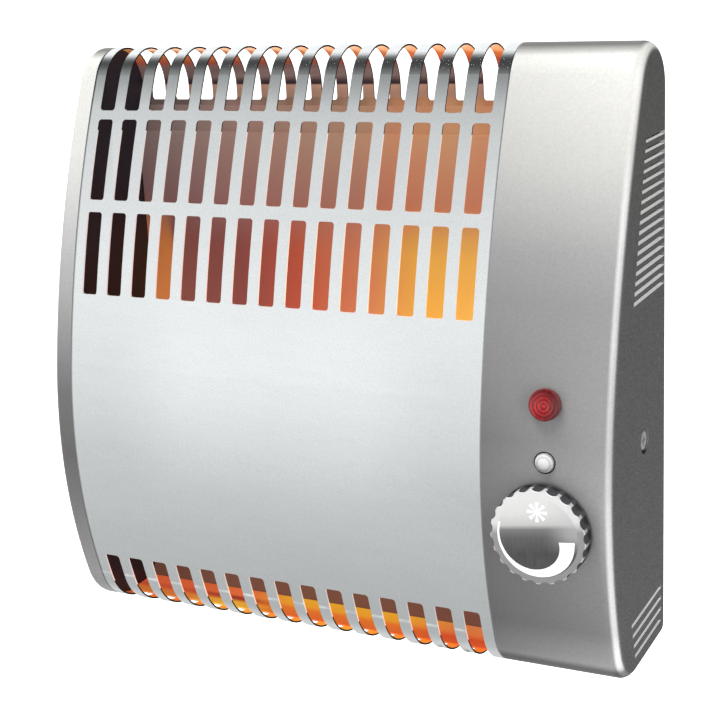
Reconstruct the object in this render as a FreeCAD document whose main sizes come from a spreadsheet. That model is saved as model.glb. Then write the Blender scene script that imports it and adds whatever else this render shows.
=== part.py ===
import FreeCAD, Part

import math
import os
import re

import Sketcher

# Wall-hung frost protection heater, in millimetres.
# Origin: centre of the rear face, which lies on the wall. +X right, +Y into the wall, +Z up.

doc = FreeCAD.newDocument("frost_heater")
Vector = FreeCAD.Vector

SIZES = {
    # Body outline, seen from the side: a bellied front between a curled top and a flat bottom
    "body_width": 275.0,
    "body_height": 271.0,
    "body_depth": 83.0,
    "belly_drop": 45.25,
    "upper_radius": 500.0,
    "belly_radius": 230.0,
    "top_radius": 20.0,
    "bottom_radius": 27.0,
    "corner_radius": 6.0,
    "edge_round": 5.0,
    "left_cap_width": 10.5,
    "control_width": 56.0,
    "shell_wall": 2.2,
    "seat_gap": 0.2,
    # Sheet thicknesses
    "grille_metal": 0.8,
    "panel_metal": 0.8,
    "plate_metal": 0.8,
    "reflector_metal": 0.6,
    "bracket_metal": 1.0,
    # Grille slots, row by row from the top: as many as fit between the side margins
    "slot_margin": 5.0,
    "slot_pitch": 13.5,
    "slot_width": 8.0,
    "slot_corner": 1.5,
    "outlet_drop": 26.8,
    "upper_bar": 3.9,
    "upper_slot_length": 35.8,
    "lower_bar": 5.3,
    "lower_slot_length": 37.1,
    "inlet_rise": 32.0,
    "inlet_rear": 48.0,
    "grille_back_drop": 37.5,
    "grille_back_trim": 8.0,
    "cut_over": 1.0,
    "cut_plane": 25.0,
    # Rear panel with keyholes
    "panel_flange": 22.0,
    "lip_lap": 6.0,
    "lip_reach": 8.0,
    "keyhole_spacing": 140.0,
    "keyhole_height": 60.0,
    "keyhole_radius": 4.5,
    "keyhole_neck_radius": 2.6,
    "keyhole_rise": 9.0,
    # Reflector
    "reflector_gap": 7.4,
    "reflector_top_drop": 42.0,
    "reflector_bend_rise": 66.0,
    "reflector_foot_gap": 30.0,
    "reflector_foot_front": 50.0,
    "reflector_lift": 1.2,
    # Side vents of the control housing
    "vent_count": 17,
    "vent_pitch": 4.03,
    "vent_opening": 1.7,
    "vent_drop": 39.0,
    "vent_rear": 5.0,
    "vent_length": 27.9,
    "vent_length_step": 1.09,
    "low_vent_count": 4,
    "low_vent_pitch": 5.4,
    "low_vent_rise": 26.1,
    "low_vent_rear": 8.5,
    "low_vent_length": 45.9,
    "low_vent_length_step": 1.6,
    # Side screws
    "screw_depth": 34.6,
    "screw_drop": 31.3,
    "screw_radius": 2.1,
    "screw_head_radius": 4.0,
    "screw_head_height": 2.4,
    "screw_length": 12.0,
    "screw_clearance": 0.15,
    "recess_radius": 5.8,
    "recess_depth": 3.0,
    "boss_radius": 8.0,
    "boss_length": 9.0,
    "screw_tab": 8.0,
    "bracket_foot": 16.0,
    # Dial
    "dial_drop": 57.0,
    "dial_gap": 1.2,
    "knob_radius": 20.5,
    "knob_height": 7.7,
    "knob_skirt": 1.5,
    "knob_face_thickness": 0.8,
    "flute_count": 21,
    "flute_radius": 3.4,
    "flute_depth": 1.0,
    "knob_bore_depth": 6.0,
    "spindle_radius": 3.0,
    "spindle_hole_radius": 5.0,
    "push_fit": 0.02,
    "running_fit": 0.05,
    # Thermostat
    "thermostat_setback": 13.0,
    "thermostat_depth": 22.0,
    "thermostat_half": 20.0,
    "thermostat_wall": 2.0,
    "cover_thickness": 1.5,
    "bush_radius": 4.5,
    "bush_length": 8.0,
    "nut_radius": 7.5,
    "nut_height": 2.5,
    "bracket_margin": 2.0,
    "bracket_leg": 20.0,
    "cam_gap": 1.5,
    "cam_thickness": 3.5,
    "cam_radius": 5.0,
    "cam_rise": 2.5,
    "dial_turn": 260.0,
    "cam_lead": 20.0,
    "follower_radius": 1.5,
    "follower_gap": 0.3,
    "lever_side": 11.0,
    "lever_drop": 14.0,
    "lever_tip": 6.0,
    "lever_width": 4.0,
    "lever_thickness": 2.9,
    "lever_hub_radius": 3.2,
    "pin_radius": 1.5,
    "pin_length": 8.0,
    "blade_rise": 9.0,
    "blade_thickness": 0.6,
    "blade_length": 27.0,
    "blade_width": 8.0,
    "tab_thickness": 0.8,
    "tab_width": 6.3,
    "tab_length": 8.0,
    "tab_side": 10.0,
    # Signal lamp
    "lamp_drop": 4.2,
    "lens_radius": 6.6,
    "lens_height": 3.4,
    "lens_ring_depth": 0.45,
    "lens_rings": 4,
    "lens_neck_radius": 4.9,
    "lens_neck_length": 8.0,
    "lens_cavity_radius": 3.4,
    "lens_roof": 1.8,
    "lamp_hole_radius": 5.4,
    "holder_radius": 7.0,
    "holder_length": 14.0,
    "holder_base": 4.0,
    "bulb_radius": 2.8,
    "lamp_tab_side": 3.5,
    "lamp_tab_width": 4.8,
    # Index stud
    "index_drop": 28.3,
    "index_radius": 4.1,
    "index_hole_gap": 0.6,
    "index_height": 1.9,
    "index_shoulder": 0.57,
    "index_flange_radius": 6.5,
    "index_flange_thickness": 1.5,
    # Heating element
    "element_offset": 3.5,
    "element_rise": 57.5,
    "rod_radius": 4.2,
    "rod_left_reach": 4.0,
    "rod_right_reach": 6.0,
    "fin_count": 8,
    "fin_radius": 20.0,
    "fin_thickness": 1.6,
    "fin_core_radius": 7.0,
    "fin_end_gap": 28.0,
    "ceramic_radius": 6.5,
    "ceramic_flange_radius": 9.0,
    "ceramic_flange": 3.0,
    "ceramic_neck": 3.0,
    "pin_spread": 2.2,
    "element_pin_radius": 1.2,
    "element_pin_length": 10.0,
    # Overheat cut-out
    "cutout_drop": 10.0,
    "cutout_radius": 8.0,
    "cutout_height": 9.0,
    "cutout_neck_radius": 6.5,
    "cutout_neck": 7.0,
    "cutout_tab_side": 4.0,
    # Terminal block, earth screw and cable gland
    "block_rise": 13.5,
    "block_length": 34.0,
    "block_depth": 31.0,
    "block_width": 18.0,
    "block_height": 14.0,
    "well_radius": 2.6,
    "well_depth": 6.0,
    "well_pitch": 11.0,
    "terminal_screw_radius": 2.3,
    "terminal_screw_length": 4.0,
    "earth_setback": 23.0,
    "earth_rise": 30.5,
    "earth_radius": 2.0,
    "earth_head_radius": 4.0,
    "earth_head_height": 2.5,
    "earth_reach": 5.0,
    "gland_depth": 31.0,
    "gland_radius": 7.0,
    "gland_flange_radius": 9.5,
    "gland_flange": 2.5,
    "gland_bore_radius": 3.8,
    # Inner leads
    "lead_radius": 1.1,
    "lead_grid": 1.0,
    "lead_bend_share": 0.45,
    "lamp_lead_run": 9.0,
}

sheet = doc.addObject("Spreadsheet::Sheet", "Sizes")
for row, (alias, number) in enumerate(SIZES.items(), start=1):
    sheet.set(f"A{row}", alias)
    sheet.set(f"B{row}", str(number))
    sheet.setAlias(f"B{row}", alias)
doc.recompute()

# Places that several pieces share, as expressions of the sheet's words
RIGHT = "(body_width / 2)"
LEFT = "(-body_width / 2)"
TOP = "(body_height / 2)"
BOTTOM = "(-body_height / 2)"
GRILLE_LEFT = f"({LEFT} + left_cap_width)"
GRILLE_RIGHT = f"({RIGHT} - control_width)"
GRILLE_MIDDLE = f"(({GRILLE_LEFT} + {GRILLE_RIGHT}) / 2)"
CHAMBER_LEFT = f"({GRILLE_LEFT} + plate_metal)"
CHAMBER_RIGHT = f"({GRILLE_RIGHT} - plate_metal)"
PANEL_TOP = f"({TOP} - grille_back_drop)"
SILL = f"({BOTTOM} + corner_radius)"
DIAL_X = f"(({GRILLE_RIGHT} + {RIGHT}) / 2)"
KNOB_BASE = "(body_depth + dial_gap)"
THERMOSTAT_FRONT = "(body_depth - thermostat_setback)"
THERMOSTAT_REAR = f"({THERMOSTAT_FRONT} - thermostat_depth)"
CAM_FRONT = f"(-{THERMOSTAT_FRONT} + thermostat_wall + cam_gap)"
SLOT_COUNT = f"(floor(({GRILLE_RIGHT} - {GRILLE_LEFT} - 2 * slot_margin - slot_width) / slot_pitch) + 1)"
ELEMENT_DEPTH = "(body_depth / 2 - element_offset)"
SIDE_FLOOR = f"({RIGHT} - recess_depth)"
BOSS_END = f"({RIGHT} - shell_wall - boss_length)"

# Axes along X, as depth and height
SCREW_AXIS = ("-screw_depth", "-screw_drop")
ELEMENT_AXIS = (f"-{ELEMENT_DEPTH}", f"({BOTTOM} + element_rise)")
CUTOUT_AXIS = (f"-{ELEMENT_DEPTH}", "-cutout_drop")
EARTH_AXIS = ("-(body_depth - earth_setback)", f"({BOTTOM} + earth_rise)")

nodes = []


def words(text):
    """Turn an expression in the sheet's words into one that names the sheet."""
    def named(found):
        return f"Sizes.{found[0]}" if found[0] in SIZES else found[0]

    return re.sub(r"[a-z_]+", named, str(text))


def size(text):
    """Value of an expression in the sheet's words."""
    return float(sheet.evalExpression(words(text)))


def bind(item, **sizes):
    """Bind properties of an object to expressions of the sheet."""
    for name, text in sizes.items():
        item.setExpression(name, words(text))
    return item


def place(item, x, y, z, turn_axis=None, turn=0.0):
    """Bind an object's place to the sheet, and turn it about one axis by a number of degrees."""
    if turn_axis is not None:
        item.Placement = FreeCAD.Placement(Vector(), FreeCAD.Rotation(turn_axis, turn))
    for name, text in (("x", x), ("y", y), ("z", z)):
        item.setExpression(f"Placement.Base.{name}", words(text))
    return item


def keep(label, item):
    """Make an object one of the handed-over pieces."""
    item.Label = label
    nodes.append(item)
    return item


def about(middle, width):
    """Low and high expressions of a width about a middle."""
    return f"{middle} - ({width}) / 2", f"{middle} + ({width}) / 2"


def box(x, y, z):
    """Block between low and high expressions on each axis."""
    item = doc.addObject("Part::Box", "block")
    bind(item, Length=f"{x[1]} - ({x[0]})", Width=f"{y[1]} - ({y[0]})", Height=f"{z[1]} - ({z[0]})")
    return place(item, x[0], y[0], z[0])


AXIS_TURNS = {"x": (Vector(0, 1, 0), 90.0), "y": (Vector(1, 0, 0), -90.0), "z": (Vector(0, 0, 1), 0.0)}


def rod(axis, radius, length, x, y, z):
    """Round bar that starts at a point and runs along +X, +Y or +Z."""
    item = doc.addObject("Part::Cylinder", "bar")
    bind(item, Radius=radius, Height=length)
    return place(item, x, y, z, *AXIS_TURNS[axis])


def fuse(*pieces):
    """Union of pieces."""
    item = doc.addObject("Part::MultiFuse", "union")
    item.Shapes = list(pieces)
    item.Refine = True
    return item


def cut(base, *tools):
    """A piece less its tools."""
    item = doc.addObject("Part::Cut", "cut")
    item.Base = base
    item.Tool = tools[0] if len(tools) == 1 else fuse(*tools)
    return item


def new_body(label):
    """Empty body that is one of the handed-over pieces."""
    return keep(label, doc.addObject("PartDesign::Body", label))


def origin_part(body, role):
    """Plane or axis of a body's own origin."""
    return next(item for item in body.Origin.OriginFeatures if item.Role == role)


def new_sketch(body, role, offset="0"):
    """Sketch on one of a body's origin planes, moved along the plane's normal."""
    item = body.newObject("Sketcher::SketchObject", "sketch")
    item.AttachmentSupport = (origin_part(body, role), [""])
    item.MapMode = "FlatFace"
    item.setExpression("AttachmentOffset.Base.z", words(offset))
    return item


def hold(sketch, kind, *where):
    """Add a constraint whose last argument is an expression of the sheet."""
    text = where[-1]
    index = sketch.addConstraint(Sketcher.Constraint(kind, *where[:-1], size(text)))
    name = f"size_{index}"
    sketch.renameConstraint(index, name)
    sketch.setExpression(f"Constraints.{name}", words(text))


def draw_polygon(sketch, corners):
    """Closed outline of straight lines, every corner held by the sheet."""
    points = [Vector(size(x), size(y), 0) for x, y in corners]
    first = sketch.GeometryCount
    count = len(points)
    for index in range(count):
        sketch.addGeometry(Part.LineSegment(points[index], points[(index + 1) % count]))
    for index, (x, y) in enumerate(corners):
        following = first + (index + 1) % count
        sketch.addConstraint(Sketcher.Constraint("Coincident", first + index, 2, following, 1))
        hold(sketch, "DistanceX", -1, 1, first + index, 1, x)
        hold(sketch, "DistanceY", -1, 1, first + index, 1, y)
    return sketch


def draw_circle(sketch, x, y, radius):
    """Circle held by the sheet."""
    index = sketch.addGeometry(Part.Circle(Vector(size(x), size(y), 0), Vector(0, 0, 1), size(radius)))
    hold(sketch, "DistanceX", -1, 1, index, 3, x)
    hold(sketch, "DistanceY", -1, 1, index, 3, y)
    hold(sketch, "Radius", index, radius)
    return sketch


def chain(sketch, first, count):
    """Join neighbouring lines and arcs of a closed outline smoothly."""
    for index in range(count):
        following = first + (index + 1) % count
        sketch.addConstraint(Sketcher.Constraint("Tangent", first + index, 2, following, 1))


def arc(centre, radius, start, end):
    """Arc drawn anticlockwise between two angles in radians."""
    return Part.ArcOfCircle(Part.Circle(centre, Vector(0, 0, 1), radius), start, end)


def draw_slot(sketch, x_low, x_high, y_low, y_high, corner):
    """Rectangle with rounded corners, held by the sheet."""
    x0, x1, y0, y1, r = (size(text) for text in (x_low, x_high, y_low, y_high, corner))
    first = sketch.GeometryCount
    quarter = math.pi / 2
    corners = [(x1 - r, y0 + r, -1), (x1 - r, y1 - r, 0), (x0 + r, y1 - r, 1), (x0 + r, y0 + r, 2)]
    starts = [(x0 + r, y0), (x1, y0 + r), (x1 - r, y1), (x0, y1 - r)]
    ends = [(x1 - r, y0), (x1, y1 - r), (x0 + r, y1), (x0, y0 + r)]
    for begin, end, (cx, cy, turn) in zip(starts, ends, corners):
        sketch.addGeometry(Part.LineSegment(Vector(*begin, 0), Vector(*end, 0)))
        sketch.addGeometry(arc(Vector(cx, cy, 0), r, turn * quarter, (turn + 1) * quarter))
    chain(sketch, first, 8)
    for line, kind in ((0, "Horizontal"), (2, "Vertical"), (4, "Horizontal"), (6, "Vertical")):
        sketch.addConstraint(Sketcher.Constraint(kind, first + line))
    hold(sketch, "Radius", first + 1, corner)
    for other in (3, 5, 7):
        sketch.addConstraint(Sketcher.Constraint("Equal", first + 1, first + other))
    hold(sketch, "DistanceX", -1, 1, first + 6, 1, x_low)
    hold(sketch, "DistanceX", -1, 1, first + 2, 1, x_high)
    hold(sketch, "DistanceY", -1, 1, first, 1, y_low)
    hold(sketch, "DistanceY", -1, 1, first + 4, 1, y_high)
    return sketch


def outline_centres():
    """Centres of the outline's top, upper front, belly and bottom arcs, as (depth, height) points."""
    top = Vector(-size("top_radius"), size(f"{TOP} - top_radius"), 0)
    belly = Vector(size("belly_radius - body_depth"), size("-belly_drop"), 0)
    to_top = size("upper_radius - top_radius")
    to_belly = size("upper_radius - belly_radius")
    apart = (belly - top).Length
    along = (to_top ** 2 - to_belly ** 2 + apart ** 2) / (2 * apart)
    aside = math.sqrt(to_top ** 2 - along ** 2)
    ahead = (belly - top).normalize()
    upper = top + ahead * along + Vector(-ahead.y, ahead.x, 0) * aside
    low = size(f"{BOTTOM} + bottom_radius")
    reach = size("belly_radius - bottom_radius")
    bottom = Vector(belly.x - math.sqrt(reach ** 2 - (low - belly.y) ** 2), low, 0)
    return top, upper, belly, bottom


def draw_profile(sketch, inset):
    """The body's side outline, moved inwards by an inset."""
    top, upper, belly, bottom = outline_centres()
    gap = size(inset)
    to_upper = math.atan2(top.y - upper.y, top.x - upper.x)
    to_belly = math.atan2(belly.y - upper.y, belly.x - upper.x)
    to_bottom = math.atan2(bottom.y - belly.y, bottom.x - belly.x) % (2 * math.pi)
    corner = size("corner_radius")
    back = Vector(-corner, size(f"{BOTTOM} + corner_radius"), 0)
    floor = size(BOTTOM) + gap
    sketch.addGeometry(Part.LineSegment(Vector(-gap, back.y, 0), Vector(-gap, top.y, 0)))
    sketch.addGeometry(arc(top, size("top_radius") - gap, 0, to_upper))
    sketch.addGeometry(arc(upper, size("upper_radius") - gap, to_upper, to_belly))
    sketch.addGeometry(arc(belly, size("belly_radius") - gap, to_belly, to_bottom))
    sketch.addGeometry(arc(bottom, size("bottom_radius") - gap, to_bottom, 1.5 * math.pi))
    sketch.addGeometry(Part.LineSegment(Vector(bottom.x, floor, 0), Vector(back.x, floor, 0)))
    sketch.addGeometry(arc(back, corner - gap, 1.5 * math.pi, 2 * math.pi))
    chain(sketch, 0, 7)
    sketch.addConstraint(Sketcher.Constraint("Vertical", 0))
    sketch.addConstraint(Sketcher.Constraint("Horizontal", 5))
    hold(sketch, "DistanceX", -1, 1, 0, 1, f"-({inset})")
    hold(sketch, "DistanceY", -1, 1, 5, 1, f"{BOTTOM} + {inset}")
    radii = ("top_radius", "upper_radius", "belly_radius", "bottom_radius")
    for index, radius in enumerate(radii, start=1):
        hold(sketch, "Radius", index, f"{radius} - ({inset})")
    hold(sketch, "Radius", 6, f"corner_radius - ({inset})")
    hold(sketch, "DistanceY", -1, 1, 1, 3, f"{TOP} - top_radius")
    hold(sketch, "DistanceX", -1, 1, 3, 3, "belly_radius - body_depth")
    hold(sketch, "DistanceY", 3, 3, -1, 1, "belly_drop")
    return sketch


def pad(body, sketch, length, reverse=False):
    """Solid grown from a sketch along its normal, or against it."""
    item = body.newObject("PartDesign::Pad", "pad")
    item.Profile = sketch
    item.Reversed = reverse
    bind(item, Length=length)
    doc.recompute()
    return item


def pocket(body, sketch, depth=None, along=True):
    """Hole cut from a sketch along its normal, or against it; with no depth it goes right through."""
    item = body.newObject("PartDesign::Pocket", "pocket")
    item.Profile = sketch
    item.Reversed = along
    before = body.Shape.Volume
    if depth is None:
        item.Type = "ThroughAll"
    else:
        bind(item, Length=depth)
    doc.recompute()
    if body.Shape.Volume >= before:
        raise RuntimeError(f"{body.Label}: a pocket cut nothing")
    return item


def round_face(body, feature, x, radius):
    """Round the edges of the flat end face of a feature at a place along X."""
    place_x = size(x)
    faces = enumerate(feature.Shape.Faces, start=1)
    name = next(f"Face{number}" for number, face in faces if abs(face.BoundBox.XMin - place_x) < 1e-6
                and face.BoundBox.XLength < 1e-6)
    item = body.newObject("PartDesign::Fillet", "round")
    item.Base = (feature, [name])
    bind(item, Radius=radius)
    doc.recompute()
    return item


def rear_opening(body, x_low, x_high):
    """Open a shell's rear for the rear panel."""
    opening = new_sketch(body, "XZ_Plane", "-cut_over")
    corners = [(x_low, SILL), (x_high, SILL), (x_high, PANEL_TOP), (x_low, PANEL_TOP)]
    pocket(body, draw_polygon(opening, corners), "cut_over + shell_wall")


def left_end_cap():
    body = new_body("left_end_cap")
    outer = draw_profile(new_sketch(body, "YZ_Plane", LEFT), "0")
    round_face(body, pad(body, outer, "left_cap_width"), LEFT, "edge_round")
    inner = draw_profile(new_sketch(body, "YZ_Plane", GRILLE_LEFT), "shell_wall")
    pocket(body, inner, "left_cap_width - shell_wall", along=False)
    rear_opening(body, f"{LEFT} + shell_wall", f"{GRILLE_LEFT} + cut_over")
    boss = new_sketch(body, "YZ_Plane", GRILLE_LEFT)
    draw_circle(boss, *SCREW_AXIS, "boss_radius")
    pad(body, boss, "left_cap_width - shell_wall", reverse=True)
    screw_seat(body, LEFT, along=True)


def screw_seat(body, x, along):
    """Round recess and through hole for a side screw."""
    recess = draw_circle(new_sketch(body, "YZ_Plane", x), *SCREW_AXIS, "recess_radius")
    pocket(body, recess, "recess_depth", along)
    hole = new_sketch(body, "YZ_Plane", x)
    draw_circle(hole, *SCREW_AXIS, "screw_radius + screw_clearance")
    pocket(body, hole, None, along)


def control_housing():
    body = new_body("control_housing")
    outer = draw_profile(new_sketch(body, "YZ_Plane", GRILLE_RIGHT), "0")
    round_face(body, pad(body, outer, "control_width"), RIGHT, "edge_round")
    inner = draw_profile(new_sketch(body, "YZ_Plane", GRILLE_RIGHT), "shell_wall")
    pocket(body, inner, "control_width - shell_wall")
    rear_opening(body, f"{GRILLE_RIGHT} - cut_over", f"{RIGHT} - shell_wall")
    boss = new_sketch(body, "YZ_Plane", f"{RIGHT} - shell_wall")
    draw_circle(boss, *SCREW_AXIS, "boss_radius")
    pad(body, boss, "boss_length", reverse=True)
    screw_seat(body, RIGHT, along=False)
    fronts = new_sketch(body, "XZ_Plane", THERMOSTAT_FRONT)
    draw_circle(fronts, DIAL_X, "-dial_drop", "spindle_hole_radius")
    draw_circle(fronts, DIAL_X, "-lamp_drop", "lamp_hole_radius")
    draw_circle(fronts, DIAL_X, "-index_drop", "index_radius + index_hole_gap")
    pocket(body, fronts)
    inlet = new_sketch(body, "XY_Plane", BOTTOM)
    draw_circle(inlet, DIAL_X, "-gland_depth", "gland_radius + seat_gap")
    pocket(body, inlet, "shell_wall + cut_over")
    vents = new_sketch(body, "YZ_Plane", RIGHT)
    for index in range(int(size("vent_count"))):
        middle = f"{TOP} - vent_drop - {index} * vent_pitch"
        draw_vent(vents, middle, "vent_rear", f"vent_length + {index} * vent_length_step")
    for index in range(int(size("low_vent_count"))):
        middle = f"{BOTTOM} + low_vent_rise - {index} * low_vent_pitch"
        draw_vent(vents, middle, "low_vent_rear", f"low_vent_length - {index} * low_vent_length_step")
    pocket(body, vents, "shell_wall + cut_over", along=False)


def draw_vent(sketch, middle, rear, length):
    """One level slot of the side vents."""
    front = f"-({rear}) - ({length})"
    low, high = about(middle, "vent_opening")
    draw_polygon(sketch, [(front, low), (f"-({rear})", low), (f"-({rear})", high), (front, high)])


def front_grille():
    body = new_body("front_grille")
    width = f"{GRILLE_RIGHT} - {GRILLE_LEFT}"
    pad(body, draw_profile(new_sketch(body, "YZ_Plane", GRILLE_LEFT), "0"), width)
    pocket(body, draw_profile(new_sketch(body, "YZ_Plane", GRILLE_LEFT), "grille_metal"))
    back = new_sketch(body, "XZ_Plane", "-cut_over")
    left = f"{GRILLE_LEFT} - cut_over"
    right = f"{GRILLE_RIGHT} + cut_over"
    low = f"{BOTTOM} - cut_over"
    draw_polygon(back, [(left, low), (right, low), (right, PANEL_TOP), (left, PANEL_TOP)])
    pocket(body, back, "cut_over + grille_back_trim")
    row_length = f"slot_pitch * ({SLOT_COUNT} - 1)"
    first = f"{GRILLE_MIDDLE} - {row_length} / 2"
    sides = about(first, "slot_width")
    outlet_low = f"{TOP} - outlet_drop"
    upper_high = f"{outlet_low} - upper_bar"
    upper_low = f"{upper_high} - upper_slot_length"
    lower_high = f"{upper_low} - lower_bar"
    lower_low = f"{lower_high} - lower_slot_length"
    outlet = new_sketch(body, "XZ_Plane", "-cut_over")
    draw_slot(outlet, *sides, outlet_low, f"{TOP} + outlet_drop", "slot_corner")
    front = new_sketch(body, "XZ_Plane", "cut_plane")
    draw_slot(front, *sides, upper_low, upper_high, "slot_corner")
    draw_slot(front, *sides, lower_low, lower_high, "slot_corner")
    inlet = new_sketch(body, "XZ_Plane", "inlet_rear")
    draw_slot(inlet, *sides, f"{BOTTOM} - inlet_rise", f"{BOTTOM} + inlet_rise", "slot_corner")
    slots = [pocket(body, outlet), pocket(body, front), pocket(body, inlet)]
    row = body.newObject("PartDesign::LinearPattern", "row")
    row.Originals = slots
    row.Direction = (origin_part(body, "X_Axis"), [""])
    bind(row, Length=row_length, Occurrences=SLOT_COUNT)
    body.Tip = row


def side_plate(label, x, holes):
    """Flat plate of the body's outline, with round holes about axes along X."""
    body = new_body(label)
    outline = draw_profile(new_sketch(body, "YZ_Plane", x), "grille_metal + seat_gap")
    pad(body, outline, "plate_metal")
    cuts = new_sketch(body, "YZ_Plane", x)
    for axis, radius in holes:
        draw_circle(cuts, *axis, radius)
    pocket(body, cuts)


def rear_panel():
    deep = ("-panel_metal", "0")
    left = f"{LEFT} + shell_wall + seat_gap"
    right = f"{RIGHT} - shell_wall - seat_gap"
    inside = (f"{CHAMBER_LEFT} + seat_gap", f"{CHAMBER_RIGHT} - seat_gap")
    sill = f"{SILL} + seat_gap"
    floor = f"{BOTTOM} + grille_metal"
    edge = f"{PANEL_TOP} - seat_gap"
    plate = box((left, right), deep, (sill, edge))
    skirt = box(inside, deep, (floor, sill))
    flange = box(inside, ("-panel_flange", "0"), (floor, f"{floor} + panel_metal"))
    lip_tall = (f"{PANEL_TOP} - lip_lap", f"{PANEL_TOP} + lip_reach")
    lip = box(inside, ("-2 * panel_metal", "-panel_metal"), lip_tall)
    neck_top = "keyhole_height + keyhole_rise"
    through = "panel_metal + 2 * cut_over"
    start = "-panel_metal - cut_over"
    tools = []
    for side in (-1, 1):
        middle = f"{side} * keyhole_spacing / 2"
        tools.append(rod("y", "keyhole_radius", through, middle, start, "keyhole_height"))
        tools.append(rod("y", "keyhole_neck_radius", through, middle, start, neck_top))
        neck = about(middle, "2 * keyhole_neck_radius")
        tools.append(box(neck, (start, "cut_over"), ("keyhole_height", neck_top)))
    keep("rear_panel", cut(fuse(plate, skirt, flange, lip), *tools))


def bent_strip(points, thickness):
    """Closed outline of a bent sheet, from the points of one face and its thickness to the left of them."""
    offset = []
    for index, point in enumerate(points):
        before = points[max(index - 1, 0)]
        after = points[min(index + 1, len(points) - 1)]
        into = (point - before) if index > 0 else (after - point)
        out = (after - point) if index < len(points) - 1 else into
        into_side = Vector(0, -into.z, into.y).normalize()
        out_side = Vector(0, -out.z, out.y).normalize()
        middle = (into_side + out_side).normalize()
        offset.append(point + middle * (thickness / middle.dot(into_side)))
    return Part.makePolygon(points + offset[::-1] + [points[0]])


def heat_reflector():
    """Bent sheet between the side plates: top return, back, slope and foot."""
    left = size(f"{CHAMBER_LEFT} + seat_gap")
    length = size(f"{CHAMBER_RIGHT} - seat_gap") - left
    back = size("-panel_metal - reflector_gap")
    crest = size(f"{TOP} - reflector_top_drop")
    foot = size(f"{BOTTOM} + grille_metal + reflector_lift")
    bend = size(f"{BOTTOM} + reflector_bend_rise")
    bends = ((size("-2 * panel_metal"), crest), (back, crest), (back, bend),
             (size("-reflector_foot_gap"), foot), (size("-reflector_foot_front"), foot))
    points = [Vector(left, depth, height) for depth, height in bends]
    item = doc.addObject("Part::Feature", "heat_reflector")
    item.Shape = Part.Face(bent_strip(points, size("reflector_metal"))).extrude(Vector(length, 0, 0))
    keep("heat_reflector", item)


def heating_element():
    """Sheathed rod along X in a finned spreader, carried by a ceramic bush at each end."""
    body = new_body("heating_fins")
    place(body, f"{GRILLE_LEFT} + fin_end_gap", *ELEMENT_AXIS)
    length = f"{GRILLE_RIGHT} - {GRILLE_LEFT} - 2 * fin_end_gap"
    pad(body, draw_circle(new_sketch(body, "YZ_Plane"), "0", "0", "fin_core_radius"), length)
    blade = new_sketch(body, "YZ_Plane")
    half = "fin_thickness / 2"
    draw_polygon(blade, [(f"-{half}", "0"), (half, "0"), (half, "fin_radius"), (f"-{half}", "fin_radius")])
    fin = pad(body, blade, length)
    ring = body.newObject("PartDesign::PolarPattern", "ring")
    ring.Originals = [fin]
    ring.Axis = (origin_part(body, "X_Axis"), [""])
    ring.Angle = 360
    bind(ring, Occurrences="fin_count")
    body.Tip = ring
    doc.recompute()
    pocket(body, draw_circle(new_sketch(body, "YZ_Plane"), "0", "0", "rod_radius + running_fit"))
    depth, height = ELEMENT_AXIS
    start = f"{GRILLE_LEFT} - rod_left_reach"
    end = f"{GRILLE_RIGHT} + rod_right_reach"
    keep("heating_rod", rod("x", "rod_radius", f"{end} - ({start})", start, depth, height))
    for name, sign in (("upper", 1), ("lower", -1)):
        pin_height = f"{height} + {sign} * pin_spread"
        pin = rod("x", "element_pin_radius", "element_pin_length", end, depth, pin_height)
        keep(f"element_pin_{name}", pin)
    neck = "ceramic_neck + plate_metal"
    for name, neck_start, flange_start in (
            ("left", f"{GRILLE_LEFT} - ceramic_neck", CHAMBER_LEFT),
            ("right", CHAMBER_RIGHT, f"{CHAMBER_RIGHT} - ceramic_flange")):
        ring = fuse(rod("x", "ceramic_radius", neck, neck_start, depth, height),
                    rod("x", "ceramic_flange_radius", "ceramic_flange", flange_start, depth, height))
        bore_start = f"{neck_start} - ceramic_flange - cut_over"
        bore_length = f"{neck} + 2 * (ceramic_flange + cut_over)"
        bore = rod("x", "rod_radius + running_fit", bore_length, bore_start, depth, height)
        keep(f"ceramic_bush_{name}", cut(ring, bore))


def tab_pair(name, spread_axis, x, y, z, side):
    """Two flat push-on tabs side by side along X or Y, standing out along the other axis from a point."""
    tall = about(z, "tab_width")
    for number, sign in ((1, -1), (2, 1)):
        if spread_axis == "y":
            item = box((x, f"{x} + tab_length"), about(f"{y} + {sign} * {side}", "tab_thickness"), tall)
        else:
            item = box(about(f"{x} + {sign} * {side}", "tab_thickness"), (y, f"{y} + tab_length"), tall)
        keep(f"{name}_tab_{number}", item)


def overheat_cutout():
    cup = rod("x", "cutout_radius", "cutout_height", f"{CHAMBER_RIGHT} - cutout_height", *CUTOUT_AXIS)
    neck = rod("x", "cutout_neck_radius", "plate_metal + cutout_neck", CHAMBER_RIGHT, *CUTOUT_AXIS)
    keep("overheat_cutout", fuse(cup, neck))
    tab_pair("cutout", "y", f"{GRILLE_RIGHT} + cutout_neck", *CUTOUT_AXIS, "cutout_tab_side")


def terminal_block():
    low = f"{BOTTOM} + block_rise"
    middle = "-block_depth"
    block = box((GRILLE_RIGHT, f"{GRILLE_RIGHT} + block_height"), about(middle, "block_width"),
                (low, f"{low} + block_length"))
    heights = [f"{low} + block_length / 2 + {step} * well_pitch" for step in (-1, 0, 1)]
    floor = f"{GRILLE_RIGHT} + block_height - well_depth"
    wells = [rod("x", "well_radius", "well_depth + cut_over", floor, middle, height) for height in heights]
    keep("terminal_block", cut(block, *wells))
    for number, height in enumerate(heights, start=1):
        screw = rod("x", "terminal_screw_radius", "terminal_screw_length", floor, middle, height)
        keep(f"terminal_screw_{number}", screw)


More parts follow.
